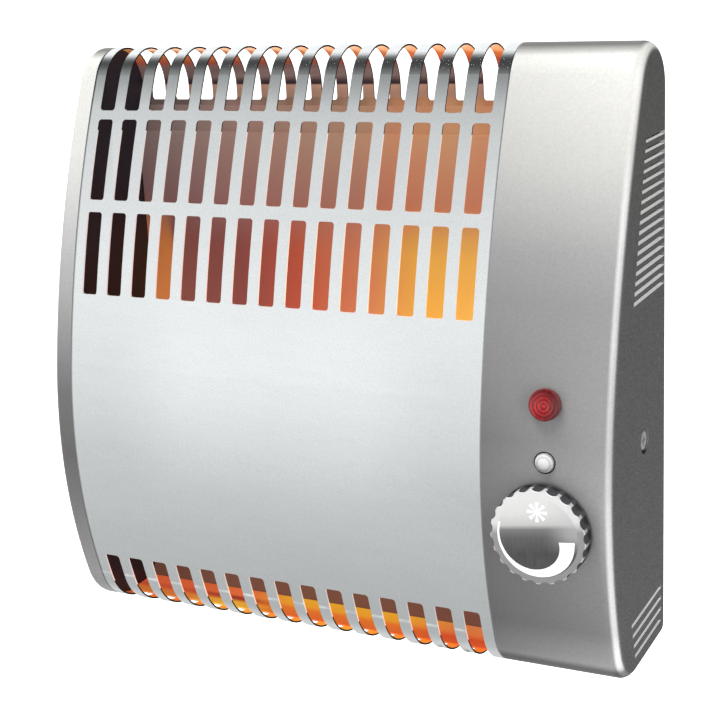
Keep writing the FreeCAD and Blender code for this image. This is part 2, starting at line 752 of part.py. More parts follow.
def earth_screw():
    head = rod("x", "earth_head_radius", "earth_head_height", GRILLE_RIGHT, *EARTH_AXIS)
    shank_start = f"{CHAMBER_RIGHT} - earth_reach"
    shank = rod("x", "earth_radius", "earth_reach + plate_metal", shank_start, *EARTH_AXIS)
    keep("earth_screw", fuse(head, shank))


def side_screws():
    left_floor = f"{LEFT} + recess_depth"
    for name, head_start, shank_start in (
            ("right", SIDE_FLOOR, f"{SIDE_FLOOR} - screw_length"),
            ("left", f"{left_floor} - screw_head_height", left_floor)):
        head = rod("x", "screw_head_radius", "screw_head_height", head_start, *SCREW_AXIS)
        shank = rod("x", "screw_radius", "screw_length", shank_start, *SCREW_AXIS)
        keep(f"side_screw_{name}", fuse(head, shank))


def side_bracket():
    """Stepped bracket from the partition to the boss of the right side screw."""
    wide = about("-screw_depth", "2 * screw_tab")
    low = "-screw_drop - screw_tab"
    tab = box((f"{BOSS_END} - bracket_metal", BOSS_END), wide, (low, "-screw_drop + screw_tab"))
    arm = box((GRILLE_RIGHT, BOSS_END), wide, (f"{low} - bracket_metal", low))
    foot = box((GRILLE_RIGHT, f"{GRILLE_RIGHT} + bracket_metal"), wide, (f"{low} - bracket_foot", low))
    hole_start = f"{BOSS_END} - 2 * bracket_metal"
    hole = rod("x", "screw_radius + screw_clearance", "3 * bracket_metal", hole_start, *SCREW_AXIS)
    keep("side_bracket", cut(fuse(tab, arm, foot), hole))


def thermostat():
    """Thermostat case on its bracket: bush, nut, cover, tabs, contact blade and lever pin."""
    middle = "-dial_drop"
    room = "2 * (thermostat_half - thermostat_wall)"
    front = f"-{THERMOSTAT_FRONT}"
    rear = f"-{THERMOSTAT_REAR}"
    floor = f"{front} + thermostat_wall"
    across = about(DIAL_X, "2 * thermostat_half")
    tall = about(middle, "2 * thermostat_half")
    inner = about(DIAL_X, room)
    hollow = box(inner, (floor, f"{rear} + cut_over"), about(middle, room))
    bore_radius = "spindle_radius + running_fit"
    bore_start = f"{front} - cut_over"
    spindle_hole = rod("y", bore_radius, "thermostat_wall + 2 * cut_over", DIAL_X, bore_start, middle)
    keep("thermostat_body", cut(box(across, (front, rear), tall), hollow, spindle_hole))
    keep("thermostat_cover", box(across, (rear, f"{rear} + cover_thickness"), tall))
    tab_pair("thermostat", "x", DIAL_X, f"{rear} + cover_thickness", middle, "tab_side")
    bush_start = f"{front} - bush_length"
    bush = rod("y", "bush_radius", "bush_length", DIAL_X, bush_start, middle)
    through = "bush_length + 2 * cut_over"
    bush_bore = rod("y", bore_radius, through, DIAL_X, f"{bush_start} - cut_over", middle)
    keep("thermostat_bush", cut(bush, bush_bore))
    nut = doc.addObject("Part::Prism", "prism")
    nut.Polygon = 6
    bind(nut, Circumradius="nut_radius", Height="nut_height")
    nut_start = f"{front} - bracket_metal - nut_height"
    place(nut, DIAL_X, nut_start, middle, *AXIS_TURNS["y"])
    nut_bore = rod("y", "bush_radius + push_fit", "nut_height + 2 * cut_over", DIAL_X,
                   f"{nut_start} - cut_over", middle)
    keep("bush_nut", cut(nut, nut_bore))
    plate_tall = about(middle, "2 * (thermostat_half + bracket_margin)")
    plate_front = f"{front} - bracket_metal"
    plate = box((GRILLE_RIGHT, f"{across[1]} + bracket_margin"), (plate_front, front), plate_tall)
    leg_wide = (GRILLE_RIGHT, f"{GRILLE_RIGHT} + bracket_metal")
    leg = box(leg_wide, (plate_front, f"{front} + bracket_leg"), plate_tall)
    hole_start = f"{front} - 2 * bracket_metal"
    hole = rod("y", "bush_radius + push_fit", "3 * bracket_metal", DIAL_X, hole_start, middle)
    keep("thermostat_bracket", cut(fuse(plate, leg), hole))
    blade_low = f"{middle} + blade_rise"
    blade_front = f"{floor} + pin_length"
    blade = box((inner[0], f"{inner[0]} + blade_length"), (blade_front, f"{blade_front} + blade_width"),
                (blade_low, f"{blade_low} + blade_thickness"))
    keep("contact_blade", blade)
    pin = rod("y", "pin_radius", "pin_length", f"{DIAL_X} + lever_side", floor, f"{middle} - lever_drop")
    keep("lever_pin", pin)


def setting_cam():
    """Spiral cam: its radius grows evenly with the dial's turn, then drops back."""
    lead = math.radians(size("cam_lead"))
    turn = math.radians(size("dial_turn"))
    slope = size("cam_rise") / turn
    steps = 24

    def rim(angle):
        radius = size("cam_radius") + slope * angle
        return Vector(radius * math.cos(angle), 0, radius * math.sin(angle))

    span = turn + 2 * lead
    points = [rim(-lead + span * step / steps) for step in range(steps + 1)]
    spiral = Part.BSplineCurve()
    spiral.interpolate(points)
    outline = Part.Wire([spiral.toShape(), Part.makeLine(points[-1], points[0])])
    solid = Part.Face(outline).extrude(Vector(0, size("cam_thickness"), 0))
    bore_radius = size("spindle_radius + push_fit")
    bore = Part.makeCylinder(bore_radius, size("cam_thickness"), Vector(), Vector(0, 1, 0))
    item = doc.addObject("Part::Feature", "setting_cam")
    item.Shape = solid.cut(bore)
    keep("setting_cam", place(item, DIAL_X, CAM_FRONT, "-dial_drop"))


def setting_lever():
    """Lever that the cam swings about the lever pin."""
    front = f"{CAM_FRONT} + (cam_thickness - lever_thickness) / 2"
    deep = (front, f"{front} + lever_thickness")
    pivot_x = f"({DIAL_X} + lever_side)"
    pivot_z = "(-dial_drop - lever_drop)"
    nose_x = f"({DIAL_X} + cam_radius + follower_gap + follower_radius)"
    hub = rod("y", "lever_hub_radius", "lever_thickness", pivot_x, front, pivot_z)
    arm = box(about(pivot_x, "lever_width"), deep, (pivot_z, "-dial_drop + lever_tip"))
    nose = rod("y", "follower_radius", "lever_thickness", nose_x, front, "-dial_drop")
    bridge = box((nose_x, pivot_x), deep, about("-dial_drop", "2 * follower_radius"))
    hole = rod("y", "pin_radius + running_fit", "lever_thickness + 2 * cut_over", pivot_x,
               f"{front} - cut_over", pivot_z)
    keep("setting_lever", cut(fuse(hub, arm, nose, bridge), hole))


def fluted(body, sketch_offset, height):
    """Round plate with scalloped edge, grown on a body that may already have a base."""
    disc = draw_circle(new_sketch(body, "XY_Plane", sketch_offset), "0", "0", "knob_radius")
    pad(body, disc, height)
    flute = new_sketch(body, "XY_Plane", sketch_offset)
    draw_circle(flute, "0", "knob_radius - flute_depth + flute_radius", "flute_radius")
    first = pocket(body, flute, height)
    ring = body.newObject("PartDesign::PolarPattern", "ring")
    ring.Originals = [first]
    ring.Axis = (origin_part(body, "Z_Axis"), [""])
    ring.Angle = 360
    bind(ring, Occurrences="flute_count")
    body.Tip = ring
    doc.recompute()


def to_front(body, depth, drop, tilt=0.0):
    """Stand a body on the control column with its Z axis to the front, tilted upwards by some degrees."""
    place(body, DIAL_X, f"-{depth}", f"-{drop}", Vector(1, 0, 0), 90.0 - tilt)


def dial():
    knob = new_body("knob_body")
    to_front(knob, KNOB_BASE, "dial_drop")
    pad(knob, draw_circle(new_sketch(knob, "XY_Plane"), "0", "0", "knob_radius"), "knob_skirt")
    fluted(knob, "knob_skirt", "knob_height - knob_skirt")
    bore = draw_circle(new_sketch(knob, "XY_Plane"), "0", "0", "spindle_radius + push_fit")
    pocket(knob, bore, "knob_bore_depth")
    face = new_body("knob_face")
    to_front(face, f"({KNOB_BASE} + knob_height)", "dial_drop")
    fluted(face, "0", "knob_face_thickness")
    start = f"-{KNOB_BASE} - knob_bore_depth"
    end = f"{CAM_FRONT} + cam_thickness"
    keep("dial_spindle", rod("y", "spindle_radius", f"{end} - ({start})", DIAL_X, start, "-dial_drop"))


def surface_place(drop):
    """Depth and upward tilt of the housing's front on the belly arc at some drop below the middle."""
    rise = f"(belly_drop - {drop})"
    depth = f"(body_depth - belly_radius + sqrt(belly_radius ^ 2 - {rise} ^ 2))"
    return depth, math.degrees(math.asin(size(rise) / size("belly_radius")))


def turned(label, corners):
    """Body turned about its Z axis from an outline of (radius, height) corners."""
    body = new_body(label)
    item = body.newObject("PartDesign::Revolution", "turned")
    item.Profile = draw_polygon(new_sketch(body, "XZ_Plane"), corners)
    item.ReferenceAxis = (origin_part(body, "Z_Axis"), [""])
    item.Angle = 360
    doc.recompute()
    return body


def signal_lamp():
    depth, tilt = surface_place("lamp_drop")
    rings = []
    for ring in range(int(size("lens_rings"))):
        outer = f"lens_radius * (1 - {ring} / lens_rings)"
        inner = f"lens_radius * (1 - ({ring} + 0.5) / lens_rings)"
        rings += [(outer, "lens_height - lens_ring_depth"), (inner, "lens_height")]
    neck_end = "-lens_neck_length"
    roof = "lens_height - lens_roof"
    lens = turned("lamp_lens", [("lens_cavity_radius", neck_end), ("lens_neck_radius", neck_end),
                                ("lens_neck_radius", "seat_gap"), ("lens_radius", "seat_gap")] + rings
                  + [("0", "lens_height - lens_ring_depth"), ("0", roof), ("lens_cavity_radius", roof)])
    to_front(lens, depth, "lamp_drop", tilt)
    seat = "-shell_wall - seat_gap"
    end = f"{seat} - holder_length"
    socket = f"{end} + holder_base"
    grip = "lens_neck_radius + seat_gap"
    holder = turned("lamp_holder", [("0", end), ("holder_radius", end), ("holder_radius", seat), (grip, seat),
                                    (grip, socket), ("0", socket)])
    to_front(holder, depth, "lamp_drop", tilt)
    tip = f"{roof} - bulb_radius"
    crown = f"{tip} + bulb_radius / 2"
    bulb = turned("lamp_bulb", [("0", socket), ("bulb_radius", socket), ("bulb_radius", tip),
                                ("bulb_radius / 2", crown), ("0", crown)])
    to_front(bulb, depth, "lamp_drop", tilt)
    for number, sign in ((1, -1), (2, 1)):
        tab = new_body(f"lamp_tab_{number}")
        near, far = about(f"{sign} * lamp_tab_side", "tab_thickness")
        low, high = about("0", "lamp_tab_width")
        outline = new_sketch(tab, "XY_Plane", end)
        draw_polygon(outline, [(near, low), (far, low), (far, high), (near, high)])
        pad(tab, outline, "tab_length", reverse=True)
        to_front(tab, depth, "lamp_drop", tilt)


def index_stud():
    depth, tilt = surface_place("index_drop")
    behind = "-shell_wall - seat_gap"
    base = f"{behind} - index_flange_thickness"
    steps = 6
    angles = [90 * step / steps for step in range(steps)]
    crown = "(index_height - index_shoulder)"
    dome = [(f"index_radius * cos({angle})", f"index_shoulder + {crown} * sin({angle})") for angle in angles]
    stud = turned("index_stud", [("0", base), ("index_flange_radius", base), ("index_flange_radius", behind),
                                 ("index_radius", behind)] + dome + [("0", "index_height")])
    to_front(stud, depth, "index_drop", tilt)


def cable_gland():
    inside = "shell_wall"
    end = f"{inside} + gland_flange"
    gland = turned("cable_gland", [("gland_bore_radius", "0"), ("gland_radius", "0"),
                                   ("gland_radius", inside), ("gland_flange_radius", inside),
                                   ("gland_flange_radius", end), ("gland_bore_radius", end)])
    place(gland, DIAL_X, "-gland_depth", BOTTOM)


def lead_path(points):
    """Straight runs joined by tangent arcs, each as large as its two runs allow."""
    edges = []
    start = points[0]
    for before, corner, after in zip(points, points[1:], points[2:]):
        into = (corner - before).normalize()
        out = (after - corner).normalize()
        reach = size("lead_bend_share") * min((corner - before).Length, (after - corner).Length)
        begin = corner - into * reach
        end = corner + out * reach
        half = into.getAngle(out) / 2
        inward = (out - into).normalize()
        radius = reach / math.tan(half)
        middle = corner + inward * (radius / math.cos(half) - radius)
        edges.append(Part.makeLine(start, begin))
        edges.append(Part.Arc(begin, middle, end).toShape())
        start = end
    edges.append(Part.makeLine(start, points[-1]))
    return Part.Wire(edges)


def lead(label, *places):
    """Insulated inner lead along points from one terminal to another."""
    points = [Vector(*(size(text) for text in where)) for where in places]
    path = lead_path(points)
    ring = Part.Wire(Part.makeCircle(size("lead_radius"), points[0], points[1] - points[0]))
    item = doc.addObject("Part::Feature", label)
    item.Shape = path.makePipeShell([ring], True, False)
    keep(label, item)


def beside(base, steps):
    """A place some steps of the leads' grid away from another place."""
    return f"{base} + ({steps}) * lead_grid"


def inner_leads():
    """Leads between terminal block, thermostat, cut-out, heating rod, lamp and earth screw."""
    block_x = f"{GRILLE_RIGHT} + block_height / 2"
    block_back = "(-block_depth + block_width / 2)"
    block_front = "(-block_depth - block_width / 2)"
    neutral = f"({BOTTOM} + block_rise + block_length / 2)"
    live = f"({neutral} + well_pitch)"
    earth = f"({neutral} - well_pitch)"
    setting = "-dial_drop"
    cover = f"(-{THERMOSTAT_REAR} + cover_thickness)"
    tab_end = f"({cover} + tab_length)"
    tab_in = f"{DIAL_X} - tab_side"
    tab_out = f"{DIAL_X} + tab_side"
    behind_tabs = beside(tab_end, 14.5)
    behind_cover = beside(cover, 2)
    past_body = beside(f"({DIAL_X} - thermostat_half)", -2.5)
    cutout_depth, cutout_z = CUTOUT_AXIS
    cutout_end = f"{GRILLE_RIGHT} + cutout_neck + tab_length"
    cutout_in = f"{cutout_depth} + cutout_tab_side"
    cutout_out = f"{cutout_depth} - cutout_tab_side"
    pin_end = f"{GRILLE_RIGHT} + rod_right_reach + element_pin_length"
    pin_depth, element_z = ELEMENT_AXIS
    upper_pin = f"{element_z} + pin_spread"
    lower_pin = f"{element_z} - pin_spread"
    depth, tilt = surface_place("lamp_drop")
    reach = "(shell_wall + seat_gap + holder_length + tab_length)"
    lamp_y = f"-{depth} + {reach} * cos({tilt})"
    lamp_z = f"-lamp_drop - {reach} * sin({tilt})"
    lamp_run = (f"{lamp_y} + lamp_lead_run * cos({tilt})", f"{lamp_z} - lamp_lead_run * sin({tilt})")
    lamp_in = f"{DIAL_X} + lamp_tab_side"
    lamp_out = f"{DIAL_X} - lamp_tab_side"
    lead("lead_live", (block_x, block_back, live), (block_x, beside(block_back, 10), live),
         (beside(DIAL_X, -19.5), beside(block_back, 12), beside(live, 14)),
         (beside(DIAL_X, -12.5), beside(block_back, 10), beside(setting, -7)),
         (tab_in, behind_tabs, setting), (tab_in, tab_end, setting))
    lead("lead_switched", (tab_out, tab_end, setting), (tab_out, behind_tabs, setting),
         (beside(DIAL_X, 10), beside(tab_end, 19.5), beside(setting, 15)),
         (beside(DIAL_X, 7.5), beside(tab_end, 18.5), beside(cutout_z, -14)),
         (beside(DIAL_X, -0.5), cutout_in, cutout_z), (cutout_end, cutout_in, cutout_z))
    lead("lead_cutout", (cutout_end, cutout_out, cutout_z), (beside(DIAL_X, -3.5), cutout_out, cutout_z),
         (beside(DIAL_X, -2.5), behind_cover, beside(cutout_z, -18)),
         (beside(DIAL_X, -2.5), behind_cover, beside(setting, -5)),
         (beside(DIAL_X, -3.5), pin_depth, upper_pin), (pin_end, pin_depth, upper_pin))
    lead("lead_neutral", (pin_end, pin_depth, lower_pin), (beside(DIAL_X, -3.5), pin_depth, lower_pin),
         (beside(DIAL_X, -2.5), beside(block_back, -4), beside(neutral, 13)),
         (beside(DIAL_X, -12.5), beside(block_back, 12), beside(neutral, 1)),
         (block_x, beside(block_back, 11), neutral), (block_x, block_back, neutral))
    lead("lead_lamp_switched", (lamp_in, lamp_y, lamp_z), (lamp_in, *lamp_run),
         (beside(DIAL_X, 9.5), behind_cover, beside("-lamp_drop", -17.8)),
         (beside(DIAL_X, 18), behind_cover, beside(setting, 15)),
         (beside(DIAL_X, 18), beside(cover, 4), setting),
         (f"{tab_out} + tab_thickness / 2", beside(cover, 4), setting))
    lead("lead_lamp_neutral", (lamp_out, lamp_y, lamp_z), (lamp_out, *lamp_run),
         (beside(DIAL_X, -14.5), behind_cover, beside("-lamp_drop", -19.8)),
         (past_body, behind_cover, beside(neutral, 25)),
         (past_body, beside(block_front, -12), beside(neutral, 11)),
         (block_x, beside(block_front, -11), neutral), (block_x, block_front, neutral))
    lead("lead_earth", (block_x, block_front, earth), (block_x, beside(block_front, -11), earth),
         (beside(DIAL_X, -14.5), EARTH_AXIS[0], beside(earth, 4)), (beside(DIAL_X, -14.5), *EARTH_AXIS),
         (f"{GRILLE_RIGHT} + earth_head_height", *EARTH_AXIS))


SCREW_HOLE = (SCREW_AXIS, "screw_radius + screw_clearance")
ELEMENT_HOLE = (ELEMENT_AXIS, "ceramic_radius + seat_gap")
CUTOUT_HOLE = (CUTOUT_AXIS, "cutout_neck_radius + seat_gap")
EARTH_HOLE = (EARTH_AXIS, "earth_radius + screw_clearance")

front_grille()
left_end_cap()
control_housing()
side_plate("left_side_plate", GRILLE_LEFT, [SCREW_HOLE, ELEMENT_HOLE])
side_plate("partition_plate", CHAMBER_RIGHT, [ELEMENT_HOLE, CUTOUT_HOLE, EARTH_HOLE])
rear_panel()
heat_reflector()
heating_element()
overheat_cutout()
terminal_block()
earth_screw()
side_screws()
side_bracket()
thermostat()
setting_cam()
setting_lever()
dial()
signal_lamp()
index_stud()
cable_gland()
inner_leads()

doc.recompute()
for item in doc.Objects:
    if "Invalid" in item.State or "Error" in item.State:
        raise RuntimeError(f"{item.Label}: {item.State}")
for item in nodes:
    if item.Shape.isNull() or not item.Shape.isValid():
        raise RuntimeError(f"{item.Label}: bad shape")

os.makedirs("parts", exist_ok=True)
for item in nodes:
    item.Shape.exportStep(f"parts/{item.Label}.step")
    bounds = item.Shape.BoundBox
    print(f"{item.Label:20s} {len(item.Shape.Solids)} solid, {item.Shape.Volume:10.1f} mm3, "
          f"x {bounds.XMin:.1f}..{bounds.XMax:.1f} y {bounds.YMin:.1f}..{bounds.YMax:.1f} "
          f"z {bounds.ZMin:.1f}..{bounds.ZMax:.1f}")
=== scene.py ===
import math

import bpy
from mathutils import Matrix, Vector

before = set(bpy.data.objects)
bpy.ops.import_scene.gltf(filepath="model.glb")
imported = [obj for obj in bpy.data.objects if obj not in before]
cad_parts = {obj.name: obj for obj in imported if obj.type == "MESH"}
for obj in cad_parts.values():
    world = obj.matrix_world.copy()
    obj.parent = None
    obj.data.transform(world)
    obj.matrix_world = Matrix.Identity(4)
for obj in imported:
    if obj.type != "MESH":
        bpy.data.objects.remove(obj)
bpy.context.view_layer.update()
scene = bpy.context.scene
scene.view_settings.view_transform = "Standard"

# Places and sizes on the body, in metres
BODY_HEIGHT = 0.271
GRILLE_LEFT = -0.127
GRILLE_MIDDLE = -0.02
GRILLE_RIGHT = 0.0815
STRAIGHT_FOOT = -0.120
STRAIGHT_TOP = 0.100
CROWN_TOP = 0.136
LEG_FOOT = 0.110
LEG_TOP = 0.135
CURL_LINE = -0.1147
CURL_START = -0.1169
CURL_AXIS = (-0.0459, -0.1085)
CURL_RADIUS = 0.027
CHAMBER_LEFT = -0.126
CHAMBER_RIGHT = 0.081
CHAMBER_MIDDLE = -0.045
FOOT_LINE = -0.0305
FOOT_FRONT = -0.050
HOUSING_LEFT = 0.082
HOUSING_RIGHT = 0.137
VENT_PLANE = 0.1351
VENT_TOP = 0.115

# The side screws and the cross of painted shade that stands for the recess in their heads
SCREW_AXIS = (-0.0346, -0.0313)
SCREW_REACH = 0.012
CROSS_HALF = 0.0005
CROSS_REACH = 0.0024

# Lamp, index stud and dial, with the marks on the dial's face
LAMP = Vector((0.1095, -0.0793, -0.0042))
RING_PITCH = 0.00165
STUD = Vector((0.1095, -0.0823, -0.0283))
STUD_RADIUS = 0.0041
DIAL = Vector((0.1095, -0.0842, -0.057))
FLUTES = 21
CREST_RADIUS = 0.0203
CREST_DEPTH = -0.0888
DISC_RADIUS = 0.0172
DISC_REACH = 0.0175
FACE_RADIUS = 0.0200
SYMBOL_RISE = 0.0110
SYMBOL_REACH = 0.0043
SYMBOL_LINES = 4
ARM_HALF = 0.00012
ARM_TAPER = 0.15
ARC_OUTER = 0.0174
ARC_INNER = 0.01665
ARC_START = math.radians(-17.0)
ARC_END = math.radians(172.5)
ARC_TIP = 0.0019

# Painted shade of the silver paint by height, and how much brighter the painted highlight makes the
# housing's front edge, by height
HOUSING_SHADE = [
    (-0.131, 0.20), (-0.1265, 0.22), (-0.1225, 0.79), (-0.105, 0.48), (-0.075, 0.535), (-0.045, 0.61),
    (-0.02, 0.475), (0.035, 0.45), (0.055, 0.54), (0.09, 0.88), (0.125, 1.13)]
CAP_SHADE = [
    (-0.115, 1.2), (-0.075, 0.64), (-0.05, 0.42), (-0.02, 0.45), (0.037, 0.73), (0.065, 0.98), (0.09, 1.17),
    (0.125, 1.25)]
EDGE_HIGHLIGHT_LEVELS = [
    (-0.10, 1.7), (-0.085, 1.45), (-0.064, 1.0), (-0.042, 0.58), (0.0, 0.70), (0.021, 0.97), (0.041, 0.89),
    (0.061, 0.68), (0.095, 0.04)]
BLACK = (0.0, 0.0, 0.0)
# Painted light on the vent sills: a bright colour that also glows
PAINTED_SILL_LIGHT = (0.80, 0.80, 0.79)

# Camera at the photograph's angle
SENSOR = 36.0
LENS = 77.636
CAMERA_AT = Vector((0.31512, -0.64812, 0.18655))
CAMERA_RIGHT = Vector((0.89654, 0.44026, -0.04945))
CAMERA_AHEAD = Vector((-0.43636, 0.85843, -0.26962))

# The studio: brightness by the angle above the horizon in degrees, and the floor's radius and height
STUDIO_LEVELS = [
    (-90, 0.62), (-74, 0.58), (-60, 0.47), (-50, 0.50), (-37, 0.55), (-26, 0.63), (-16, 0.77), (-4, 0.91),
    (5, 1.0), (20, 0.82), (31, 0.68), (40, 0.52), (47, 0.28), (54, 0.06), (62, 0.02), (90, 0.02)]
FLOOR_PROFILE = [
    (0.0, -1.2), (5.0, -1.2), (7.0, -0.6), (8.4, 1.0), (9.0, 4.0), (8.0, 8.0), (4.0, 11.0), (0.0, 11.5)]
FLOOR_SIDES = 48


def add(tree, kind, inputs=None, **settings):
    """New node with its settings; inputs are values or sockets to link."""
    node = tree.nodes.new(kind)
    for name, value in settings.items():
        setattr(node, name, value)
    for key, value in (inputs or {}).items():
        put(tree, node.inputs[key], value)
    return node


def put(tree, socket, value):
    """Link a socket, or set a plain value on it."""
    if isinstance(value, bpy.types.NodeSocket):
        tree.links.new(value, socket)
    else:
        socket.default_value = value


def calc(tree, operation, *values):
    """Result of arithmetic on numbers."""
    return add(tree, "ShaderNodeMath", dict(enumerate(values)), operation=operation).outputs[0]


def product(tree, first, *others):
    """Numbers multiplied together."""
    for other in others:
        first = calc(tree, "MULTIPLY", first, other)
    return first


def distance(tree, first, second):
    """Distance between two numbers."""
    return calc(tree, "ABSOLUTE", calc(tree, "SUBTRACT", first, second))


def span(tree, value, low, high, to_low=0.0, to_high=1.0, smooth=False):
    """Value mapped from one range to another and held within it."""
    kind = "SMOOTHSTEP" if smooth else "LINEAR"
    inputs = {"Value": value, "From Min": low, "From Max": high, "To Min": to_low, "To Max": to_high}
    return add(tree, "ShaderNodeMapRange", inputs, interpolation_type=kind).outputs["Result"]


def rgba(colour):
    """Opaque colour."""
    return (*colour[:3], 1.0)


def grey(level):
    """Neutral colour."""
    return (level, level, level)


def greys(stops):
    """Neutral stops of a ramp."""
    return [(position, grey(level)) for position, level in stops]


def mix(tree, share, first, second, blend="MIX"):
    """Mixed colour."""
    node = add(tree, "ShaderNodeMix", data_type="RGBA", blend_type=blend)
    for name, value in (("Factor_Float", share), ("A_Color", first), ("B_Color", second)):
        socket = next(item for item in node.inputs if item.identifier == name)
        put(tree, socket, rgba(value) if isinstance(value, tuple) else value)
    return next(item for item in node.outputs if item.identifier == "Result_Color")


def scaled(tree, colour, factor):
    """Colour multiplied by a colour or a number."""
    return mix(tree, 1.0, colour, factor, "MULTIPLY")


def ramp(tree, share, stops):
    """Colour ramp over positions and colours."""
    node = add(tree, "ShaderNodeValToRGB", {"Fac": share})
    elements = node.color_ramp.elements
    while len(elements) < len(stops):
        elements.new(0.5)
    for element, (position, colour) in zip(elements, stops):
        element.position = position
        element.color = rgba(colour)
    return node.outputs["Color"]


def place(tree):
    """Place in the part's frame, in metres, as a vector and as three numbers."""
    vector = add(tree, "ShaderNodeTexCoord").outputs["Object"]
    parts = add(tree, "ShaderNodeSeparateXYZ", {"Vector": vector}).outputs
    return vector, parts["X"], parts["Y"], parts["Z"]


def side_of(tree):
    """The surface's own normal in the part's frame, as three numbers."""
    normal = add(tree, "ShaderNodeTexCoord").outputs["Normal"]
    parts = add(tree, "ShaderNodeSeparateXYZ", {"Vector": normal}).outputs
    return parts["X"], parts["Y"], parts["Z"]


def about(tree, centre):
    """Place about an axis along Y: across, up, distance from the axis, and the depth along Y."""
    vector, x, y, z = place(tree)
    across = calc(tree, "SUBTRACT", x, centre.x)
    up = calc(tree, "SUBTRACT", z, centre.z)
    square = calc(tree, "ADD", product(tree, across, across), product(tree, up, up))
    return vector, across, up, calc(tree, "SQRT", square), y


def noise(tree, vector, scale, detail=3.0, stretch=None):
    """Noise between 0 and 1, stretched along axes if asked."""
    if stretch is not None:
        vector = add(tree, "ShaderNodeMapping", {"Vector": vector, "Scale": stretch}).outputs["Vector"]
    inputs = {"Vector": vector, "Scale": scale, "Detail": detail, "Roughness": 0.55}
    return add(tree, "ShaderNodeTexNoise", inputs).outputs["Fac"]


def bump(tree, height, strength, depth, normal=None):
    """Normal bent by a height."""
    inputs = {"Height": height, "Strength": strength, "Distance": depth}
    if normal is not None:
        inputs["Normal"] = normal
    return add(tree, "ShaderNodeBump", inputs).outputs["Normal"]


def new_material(name):
    """Empty material with its node tree and its shader."""
    material = bpy.data.materials.new(name)
    material.use_nodes = True
    tree = material.node_tree
    tree.nodes.clear()
    shader = add(tree, "ShaderNodeBsdfPrincipled")
    add(tree, "ShaderNodeOutputMaterial", {"Surface": shader.outputs["BSDF"]})
    return material, tree, shader


def surface(name, colour, metallic=0.0, rough=(0.35, 0.5), grain=900.0, spread=0.12, relief=0.00002,
            stretch=None):
    """Plain worked surface: uneven tone, uneven gloss and a fine relief, at the grain's scale."""
    material, tree, shader = new_material(name)
    vector = place(tree)[0]
    fine = noise(tree, vector, grain, stretch=stretch)
    broad = noise(tree, vector, grain / 18.0)
    tone = span(tree, calc(tree, "ADD", fine, broad), 0.6, 1.4)
    dark = tuple(part * (1.0 - spread) for part in colour)
    light = tuple(min(part * (1.0 + spread), 1.0) for part in colour)
    put(tree, shader.inputs["Base Color"], mix(tree, tone, dark, light))
    put(tree, shader.inputs["Roughness"], span(tree, broad, 0.3, 0.7, *rough))
    put(tree, shader.inputs["Normal"], bump(tree, fine, 0.35, relief))
    shader.inputs["Metallic"].default_value = metallic
    return material, tree, shader


def painted_wall_glow(tree, vector, x, z):
    """Painted glow of the chamber's rear wall: brown at the left, orange at the right."""
    cloud = noise(tree, vector, 14.0)
    drift = span(tree, cloud, 0.3, 0.7, -0.02, 0.02)
    along = calc(tree, "ADD", span(tree, x, CHAMBER_LEFT, CHAMBER_RIGHT), drift)
    colour = ramp(tree, along, [
        (0.0, (0.138, 0.085, 0.082)), (0.12, (0.156, 0.095, 0.09)), (0.3, (0.198, 0.102, 0.086)),
        (0.55, (0.248, 0.127, 0.087)), (0.68, (0.344, 0.136, 0.074)), (0.82, (0.35, 0.162, 0.088)),
        (1.0, (0.40, 0.128, 0.072))])
    fade = mix(tree, span(tree, z, 0.058, 0.092), (1.0, 0.80, 0.82), (1.04, 1.2, 1.15))
    return along, cloud, scaled(tree, colour, fade)


def painted_foot_glow(tree, along, y):
    """Bands of painted glow across the reflector's foot, from the bend to its front edge."""
    across = span(tree, y, FOOT_LINE, FOOT_FRONT)
    left = ramp(tree, across, [
        (0.0, (0.80, 0.17, 0.05)), (0.38, (0.80, 0.17, 0.05)), (0.5, (0.34, 0.04, 0.025)),
        (0.62, (0.42, 0.06, 0.03)), (0.75, (0.85, 0.42, 0.04)), (1.0, (0.85, 0.50, 0.06))])
    left = mix(tree, span(tree, along, 0.12, 0.24, 0.75, 0.0), left, (0.62, 0.10, 0.035))
    middle = ramp(tree, across, [
        (0.0, (0.86, 0.44, 0.03)), (0.4, (0.86, 0.38, 0.03)), (0.6, (0.80, 0.20, 0.03)),
        (1.0, (0.75, 0.15, 0.03))])
    right = ramp(tree, across, [
        (0.0, (0.72, 0.23, 0.07)), (0.45, (0.75, 0.20, 0.05)), (0.7, (0.68, 0.08, 0.025)),
        (1.0, (0.70, 0.12, 0.03))])
    inner = mix(tree, span(tree, along, 0.28, 0.42, smooth=True), left, middle)
    return mix(tree, span(tree, along, 0.68, 0.86, smooth=True), inner, right)


def painted_curl_glow(tree, along, wall, z):
    """Painted glow on the inner side of the sheet: on the rear legs, with a painted dark band across them,
    under the top curl and in the bottom curl.
    """
    leg = ramp(tree, span(tree, z, LEG_FOOT, LEG_TOP), [
        (0.0, (0.34, 0.20, 0.145)), (0.23, (0.36, 0.21, 0.15)), (0.25, (0.030, 0.018, 0.022)),
        (0.31, (0.060, 0.038, 0.04)), (0.40, (0.19, 0.125, 0.115)), (0.58, (0.25, 0.15, 0.13)),
        (0.66, (0.45, 0.10, 0.06)), (0.80, (0.66, 0.20, 0.06)), (1.0, (0.70, 0.33, 0.12))])
    low = ramp(tree, along, [
        (0.0, (0.65, 0.15, 0.04)), (0.3, (0.80, 0.34, 0.05)), (0.6, (0.86, 0.48, 0.06)),
        (1.0, (0.78, 0.24, 0.04))])
    upper = mix(tree, span(tree, z, LEG_FOOT - 0.0005, LEG_FOOT + 0.0005), wall, leg)
    return mix(tree, span(tree, z, -0.11, -0.08), low, upper)


